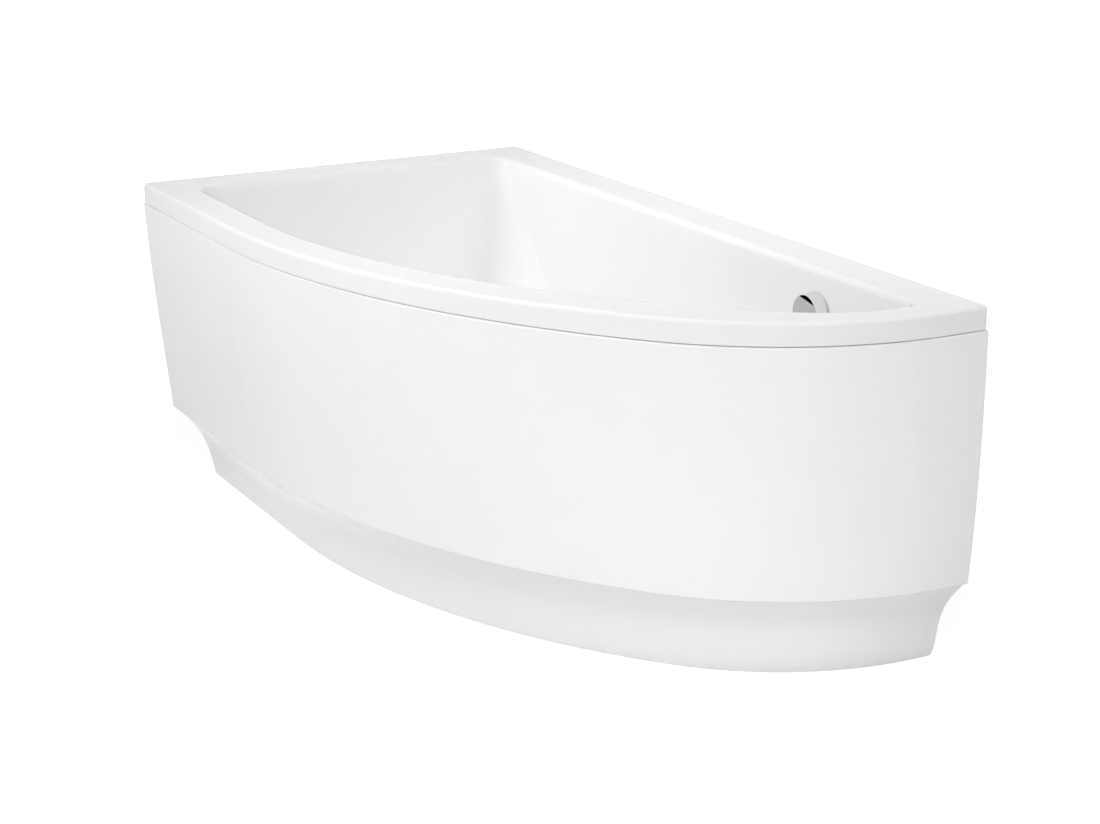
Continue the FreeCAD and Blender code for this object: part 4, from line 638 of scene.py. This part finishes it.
def basin_ring(depth, grow, steps):
    """The basin's plan at one depth under the deck, as the part has it, grown outwards by `grow`."""
    down = min(depth / BASIN_DEPTH, 1.0)
    into_turn = max(depth - BASIN_DEPTH + FLOOR_ROUND, 0.0)
    corners = [top + (low - top) * down + grow - into_turn for top, low in zip(MOUTH_CORNERS, FLOOR_CORNERS)]
    left, back, front, right = (edge + wall_inset(slope, depth, grow) for edge, slope in BASIN_WALLS)
    flat = plan_ring(-HALF_LENGTH + left, HALF_LENGTH - right, -HALF_WIDTH + front, HALF_WIDTH - back,
                     BASIN_END_RUN, MOUTH_TURN + (FLOOR_TURN - MOUTH_TURN) * down,
                     ARC_START + ARC_SHIFT * down, corners, steps)
    return np.column_stack([flat, np.full(len(flat), HEIGHT - depth)])


def lumps(points, size, seed):
    """A smooth uneven height for points: the sum of a few waves of random direction, about nought."""
    chance = np.random.default_rng(seed)
    total = np.zeros(len(points))
    for _ in range(LUMP_WAVES):
        way = chance.normal(size=3)
        wave = 2 * math.pi / (size * chance.uniform(*LUMP_SPREAD))
        total += np.sin(points @ (way / np.linalg.norm(way)) * wave + chance.uniform(0, 2 * math.pi))
    return total / LUMP_LEVEL


def laminate_points(look):
    """The sprayed layer as rings of points: its outside from under the deck down into the floor's turn,
    then the shell's outside back up. Its outside is the shell's, moved out along the wall's normal by a
    thickness that rises and falls in broad and fine lumps, and thins out at both ends and round the
    overflow."""
    straight = BASIN_DEPTH - FLOOR_ROUND
    turning = straight + (FLOOR_ROUND + SKIN) * np.sin(np.linspace(0.0, LAYER_TURN, TURN_RINGS))
    depths = np.concatenate([np.linspace(LAYER_TOP, straight, WALL_RINGS, endpoint=False), turning])
    skin = np.stack([basin_ring(depth, SKIN + SKIN_GAP, RING_STEPS) for depth in depths])
    out = np.stack([basin_ring(depth, SKIN + SKIN_GAP + PROBE, RING_STEPS) for depth in depths]) - skin
    out /= np.linalg.norm(out, axis=-1, keepdims=True)
    flat = skin.reshape(-1, 3)
    away = np.hypot(flat[:, 0] - OVERFLOW_X, flat[:, 2] - OVERFLOW_Z)
    away += np.where(flat[:, 1] < BACK_WALL_FROM, 1.0, 0.0)
    trim = np.clip((away - look.clear_radius) / TRIM_FADE, 0.0, 1.0).reshape(skin.shape[:2])
    edge = np.sin(np.linspace(0.0, math.pi, len(depths)))[:, None]
    fade = np.clip(edge * EDGE_FADE, 0.0, 1.0) * trim
    uneven = lumps(flat, BROAD_LUMPS, seed=4) + FINE_SHARE * lumps(flat, FINE_LUMPS, seed=9)
    sprayed = look.thick + look.lumps * uneven.reshape(skin.shape[:2])
    thick = np.clip(sprayed, THINNEST, THICKEST) * fade
    outside = skin + out * (thick + THIN_EDGE)[..., None]
    return np.concatenate([outside, skin[::-1]])


class BATHTUB_OT_laminate(bpy.types.Operator):
    """Spray the layer of resin and glass on the outside of the basin"""
    bl_idname = "bathtub.laminate"
    bl_label = "Glass laminate"

    def execute(self, context):
        look = context.scene.bathtub_laminate
        points = laminate_points(look)
        faces = closed_grid(*points.shape[:2])[:, ::-1]
        made = new_piece("glass_laminate", points, [faces], "bath", laminate("Sprayed laminate", look))
        return {"FINISHED"}


def thread_points(centre, low, high, look):
    """A screw thread as rings of points: the radius falls from the crest in a blunt triangle wave of height
    less turn, and is held down by a bevel at both ends."""
    rows = int((high - low) / look.pitch * THREAD_ROWS)
    height = np.linspace(low, high, rows)[:, None]
    angle = np.linspace(0.0, 2 * math.pi, THREAD_AROUND, endpoint=False)[None, :]
    phase = (height - low) / look.pitch - angle / (2 * math.pi)
    triangle = np.abs(2 * (phase - np.floor(phase)) - 1)
    wave = np.clip(THREAD_GAIN * triangle - THREAD_CUT, 0.0, 1.0)
    radius = look.root + (look.crest - look.root) * wave
    bevel = look.crest - look.chamfer + np.minimum(height - low, high - height)
    radius = np.minimum(radius, bevel)
    return np.stack([centre[0] + radius * np.cos(angle), centre[1] + radius * np.sin(angle),
                     np.broadcast_to(height, radius.shape)], -1)


class BATHTUB_OT_threads(bpy.types.Operator):
    """Cut the screw thread of the four levelling feet"""
    bl_idname = "bathtub.threads"
    bl_label = "Foot threads"

    def execute(self, context):
        look = context.scene.bathtub_thread
        plate = zinc("Thread zinc", context.scene.bathtub_metal.zinc, rough=0.28)
        for foot in FEET:
            low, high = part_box("foot_rod_" + foot)
            centre = (low + high) / 2
            rings = thread_points(centre, low.z, high.z, look)
            rows, columns = rings.shape[:2]
            poles = [(centre.x, centre.y, z) for z in (low.z, high.z)]
            points = np.concatenate([rings.reshape(-1, 3), poles])
            count = rows * columns
            faces = [grid_faces(rows, columns), cap_faces(0, columns, count, False),
                     cap_faces(count - columns, columns, count + 1, True)]
            made = new_piece("threaded_rod_" + foot, points, faces, "foot_" + foot, plate)
            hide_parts("foot_rod_" + foot)
        return {"FINISHED"}


def weld_points(centre, height, look, seed):
    """A weld bead as a ring: a round cord bent round a circle, whose thickness ripples along it like
    overlapping scales and swells a little. It is flat on top, 0.2 mm under the tube, and joins the nut."""
    along = np.linspace(0.0, 2 * math.pi, BEAD_ALONG, endpoint=False)[:, None]
    around = -np.linspace(0.0, 2 * math.pi, BEAD_AROUND, endpoint=False)[None, :]
    scales = np.abs(np.sin(along * BEAD_SCALES / 2))
    thick = look.thick * (BEAD_LEAST + BEAD_RISE * scales + BEAD_SWELL * np.sin(3 * along + seed))
    out = look.radius + thick * np.cos(around) + BEAD_WANDER * np.sin(2 * along + seed)
    up = height - BEAD_SUNK + np.minimum(thick * np.sin(around), BEAD_TOP)
    return np.stack([centre[0] + out * np.cos(along), centre[1] + out * np.sin(along),
                     np.broadcast_to(up, out.shape)], -1)


class BATHTUB_OT_welds(bpy.types.Operator):
    """Lay the weld beads between the cradle's tubes and the nuts of the feet"""
    bl_idname = "bathtub.welds"
    bl_label = "Weld beads"

    def execute(self, context):
        look = context.scene.bathtub_weld
        under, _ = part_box("cradle_bar_left")
        blocks, faces, first = [], [], 0
        for seed, foot in enumerate(FEET):
            rings = weld_points(middle("foot_rod_" + foot), under.z, look, seed)
            rows, columns = rings.shape[:2]
            blocks.append(rings.reshape(-1, 3))
            faces.append(closed_grid(rows, columns, first))
            first += rows * columns
        made = new_piece("weld_beads", np.concatenate(blocks), faces, "bath", weld("Weld bead", look))
        return {"FINISHED"}


# ---- where each finish goes --------------------------------------------------------------------
def dress(node, material):
    """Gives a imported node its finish."""
    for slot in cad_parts[node].material_slots:
        slot.material = material


BOARD_NODES = ("base_board", "rim_batten")
ZINC_NODES = ("cradle_bar_left", "cradle_bar_right", "cradle_screws", "foot_nuts", "wall_hangers",
              "panel_clip_screws", *("foot_rod_" + foot for foot in FEET))
SPRING_NODES = ("panel_top_clips", "panel_floor_clips")
BLACK_NODES = ("bar_end_caps", *("foot_pad_" + foot for foot in FEET))
GREY_NODES = ("cable_wheel", "lift_lever")
RUBBER_NODES = ("overflow_seal", "telescope_seal", "waste_seal", "plug_seal", "trap_union_seal",
                "trap_cup_seal", "trap_outlet_seal")
WHITE_NODES = ("overflow_rosette", "overflow_body", "overflow_pipe_upper", "overflow_pipe_lower",
               "telescope_nut", "overflow_elbow", "elbow_nut", "waste_body", "trap_union_nut", "trap_head",
               "trap_cup", "trap_outlet_nut", "trap_outlet_pipe")


class BATHTUB_OT_acrylic(bpy.types.Operator):
    """Give the bath and its front panel their cast acrylic"""
    bl_idname = "bathtub.acrylic"
    bl_label = "Acrylic"

    def execute(self, context):
        look = context.scene.bathtub_acrylic
        # the bath gets a darker copy of the panel's acrylic, as painted shade
        dress("tub_shell", acrylic("Bath acrylic with painted shade", look, part=look.bath_painted_shade, ripple=0.0005))
        dress("front_panel", acrylic("Panel acrylic", look, part=1.0, ripple=0.0007))
        return {"FINISHED"}


class BATHTUB_OT_metal(bpy.types.Operator):
    """Give the metal parts their plating, polish and turning marks"""
    bl_idname = "bathtub.metal"
    bl_label = "Metal finishes"

    def execute(self, context):
        look = context.scene.bathtub_metal
        dress("overflow_knob", plated("Knob chrome", look.chrome, rough=0.05))
        dress("plug", plated("Plug chrome", look.chrome, rough=0.07))
        dress("waste_flange", turned("Flange stainless", look.stainless, rough=0.16, pitch=2600.0,
                                     depth=0.00001, centre=middle("waste_flange")))
        dress("knob_spindle", turned("Spindle brass", look.brass, rough=0.24, pitch=2200.0, depth=0.00002,
                                     centre=middle("knob_spindle"), spin=(QUARTER, 0.0, 0.0)))
        dress("lever_pin", turned("Pin brass", look.brass, rough=0.24, pitch=2200.0, depth=0.00002,
                                  centre=middle("lever_pin")))
        plate = zinc("Zinc plate", look.zinc, rough=0.3)
        spring = zinc("Spring steel", look.spring, rough=0.36)
        for nodes, material in ((ZINC_NODES, plate), (SPRING_NODES, spring)):
            for node in nodes:
                dress(node, material)
        return {"FINISHED"}


class BATHTUB_OT_plastic(bpy.types.Operator):
    """Give the mouldings, seals and boards their finishes"""
    bl_idname = "bathtub.plastic"
    bl_label = "Plastic, rubber and board"

    def execute(self, context):
        look = context.scene.bathtub_plastic
        # for each moulding: colour, roughness, scale and depth in metres of its grain, and share of dust
        groups = (
            (WHITE_NODES, moulded("White moulding", look.white, 0.32, 700.0, 0.00003, 0.25)),
            (GREY_NODES, moulded("Grey moulding", look.grey, 0.4, 900.0, 0.00004, 0.15)),
            (BLACK_NODES, moulded("Black moulding", look.black, 0.45, 800.0, 0.00006, 0.35)),
            (RUBBER_NODES, moulded("Seal rubber", look.rubber, 0.62, 1400.0, 0.00003, 0.1)),
            (BOARD_NODES, chipboard("Chipboard", context.scene.bathtub_board)),
        )
        for nodes, material in groups:
            for node in nodes:
                dress(node, material)
        return {"FINISHED"}


# ---- studio ------------------------------------------------------------------------------------
FLOOR_DROP = 0.0003       # keeps the floor just under what stands on it
SENSOR_WIDTH = 36.0       # millimetres
WHOLE_BATH = (0.0, 0.0, 0.3)

# each lamp: name, heading and rise in degrees, distance, what it looks at, side in metres, power in watts,
# beam in degrees
LAMPS = (("key_lamp", 60.0, 30.0, 3.5, WHOLE_BATH, 1.6, 28.0, 180.0),
         ("left_lamp", -30.0, 25.0, 3.5, WHOLE_BATH, 1.6, 21.0, 180.0),
         ("back_lamp", 150.0, 45.0, 3.5, WHOLE_BATH, 1.6, 23.0, 180.0),
         ("panel_lamp", 30.0, 8.0, 3.0, (-0.2, -0.42, 0.12), 0.8, 0.9, 40.0),
         ("slope_lamp", 0.0, 50.0, 3.0, (-0.3, 0.25, 0.4), 0.8, 1.4, 40.0),
         ("basin_lamp", -20.0, 60.0, 3.0, (0.3, 0.25, 0.4), 0.8, 1.6, 40.0),
         ("corner_lamp", 5.0, 45.0, 3.0, (-0.52, 0.33, 0.4), 0.5, 0.14, 14.0),
         ("low_lamp", 70.0, 0.0, 2.5, (0.6, -0.1, 0.2), 0.36, 2.5, 60.0))


def seen_white(tree):
    """1 for rays from the camera, from a shine or through glass, and 0 for rays that light things."""
    path = add(tree, "ShaderNodeLightPath").outputs
    seen = maths(tree, "MAXIMUM", path["Is Camera Ray"], path["Is Glossy Ray"])
    return maths(tree, "MAXIMUM", seen, path["Is Transmission Ray"])


def studio_air(look):
    """The world: white where it is seen, and an even fill where it lights."""
    world = bpy.data.worlds.new("Studio air")
    world.use_nodes = True
    tree = world.node_tree
    tree.nodes.clear()
    fill = add(tree, "ShaderNodeBackground", {"Color": rgba(look.backdrop), "Strength": look.fill}).outputs[0]
    white = add(tree, "ShaderNodeBackground", {"Color": rgba(look.backdrop), "Strength": 1.0}).outputs[0]
    mix = add(tree, "ShaderNodeMixShader", {0: seen_white(tree), 1: fill, 2: white}).outputs[0]
    add(tree, "ShaderNodeOutputWorld", {"Surface": mix})
    return world


def studio_floor(look):
    """A wide floor under the bath, which keeps the bath's shadow and is lifted to white where it is seen."""
    half = look.floor_half
    corners = [(x, y, -FLOOR_DROP) for x, y in ((-half, -half), (half, -half), (half, half), (-half, half))]
    mesh = bpy.data.meshes.new("studio_floor")
    mesh.from_pydata(corners, [], [(0, 1, 2, 3)])
    floor = bpy.data.objects.new("studio_floor", mesh)
    bpy.context.scene.collection.objects.link(floor)
    material = bpy.data.materials.new("Studio floor")
    material.use_nodes = True
    tree = material.node_tree
    tree.nodes.clear()
    matt = add(tree, "ShaderNodeBsdfDiffuse", {"Color": rgba(look.backdrop, look.floor_tone)}).outputs[0]
    place = add(tree, "ShaderNodeTexCoord").outputs["Object"]
    away = add(tree, "ShaderNodeVectorMath", {0: place}, operation="LENGTH").outputs["Value"]
    lift = reach(tree, away, look.lift_near, look.lift_far, look.lift, 1.0)
    strength = maths(tree, "MULTIPLY", seen_white(tree), lift)
    glow = add(tree, "ShaderNodeEmission", {"Color": rgba(look.backdrop), "Strength": strength}).outputs[0]
    both = add(tree, "ShaderNodeAddShader", {0: matt, 1: glow}).outputs[0]
    add(tree, "ShaderNodeOutputMaterial", {"Surface": both})
    mesh.materials.append(material)


def stand_off(heading, rise):
    """The direction to a place round the bath: heading 0 is its front, and rise 90 degrees is overhead."""
    return Vector((math.sin(heading) * math.cos(rise), -math.cos(heading) * math.cos(rise), math.sin(rise)))


def soft_lamp(name, heading, rise, away, target, side, power, spread):
    """A square soft lamp that looks at a point, placed by its heading and rise, in degrees."""
    lamp = bpy.data.lights.new(name, "AREA")
    lamp.shape, lamp.size, lamp.energy, lamp.spread = "SQUARE", side, power, math.radians(spread)
    back = stand_off(math.radians(heading), math.radians(rise))
    made = bpy.data.objects.new(name, lamp)
    made.location = Vector(target) + away * back
    made.rotation_euler = (-back).to_track_quat("-Z", "Y").to_euler()
    made.visible_camera = made.visible_glossy = False
    bpy.context.scene.collection.objects.link(made)


class BATHTUB_OT_stage(bpy.types.Operator):
    """Set up the white studio, its lamps and the camera"""
    bl_idname = "bathtub.stage"
    bl_label = "Studio and camera"

    def execute(self, context):
        look = context.scene.bathtub_stage
        context.scene.world = studio_air(look)
        studio_floor(look)
        for name, heading, rise, away, aim, side, power, beam in LAMPS:
            soft_lamp(name, heading, rise, away, aim, side, power * look.lamp_level, beam)
        back = stand_off(look.heading, look.rise)
        lens = bpy.data.cameras.new("studio_camera")
        lens.lens, lens.sensor_width, lens.sensor_fit = look.lens, SENSOR_WIDTH, "HORIZONTAL"
        camera = bpy.data.objects.new("studio_camera", lens)
        camera.location = look.eye
        camera.rotation_euler = (-back).to_track_quat("-Z", "Y").to_euler()
        context.scene.collection.objects.link(camera)
        context.scene.camera = camera
        context.scene.view_settings.view_transform = "Standard"
        return {"FINISHED"}


# ---- add-on ------------------------------------------------------------------------------------
LOOKS = (("bathtub_stage", StageLook), ("bathtub_acrylic", AcrylicLook), ("bathtub_metal", MetalLook),
         ("bathtub_plastic", PlasticLook), ("bathtub_board", BoardLook), ("bathtub_laminate", LaminateLook),
         ("bathtub_thread", ThreadLook), ("bathtub_weld", WeldLook))
OPERATORS = (BATHTUB_OT_stage, BATHTUB_OT_acrylic, BATHTUB_OT_metal, BATHTUB_OT_plastic, BATHTUB_OT_laminate,
             BATHTUB_OT_threads, BATHTUB_OT_welds)


class BATHTUB_PT_panel(bpy.types.Panel):
    """Lists the steps that build the bathtub"""
    bl_label = "Corner Bathtub"
    bl_idname = "BATHTUB_PT_panel"
    bl_space_type = "VIEW_3D"
    bl_region_type = "UI"
    bl_category = "Bathtub"

    def draw(self, context):
        for step in OPERATORS:
            self.layout.operator(step.bl_idname)


def register():
    """Registers the properties, the operators and the panel."""
    for name, look in LOOKS:
        bpy.utils.register_class(look)
        setattr(bpy.types.Scene, name, bpy.props.PointerProperty(type=look))
    for step in OPERATORS + (BATHTUB_PT_panel,):
        bpy.utils.register_class(step)


def unregister():
    """Takes them out again."""
    for step in (BATHTUB_PT_panel,) + OPERATORS[::-1]:
        bpy.utils.unregister_class(step)
    for name, look in LOOKS[::-1]:
        delattr(bpy.types.Scene, name)
        bpy.utils.unregister_class(look)


def main():
    """Builds everything."""
    register()
    for step in OPERATORS:
        group, name = step.bl_idname.split(".")
        getattr(getattr(bpy.ops, group), name)()


if __name__ == "__main__":
    main()
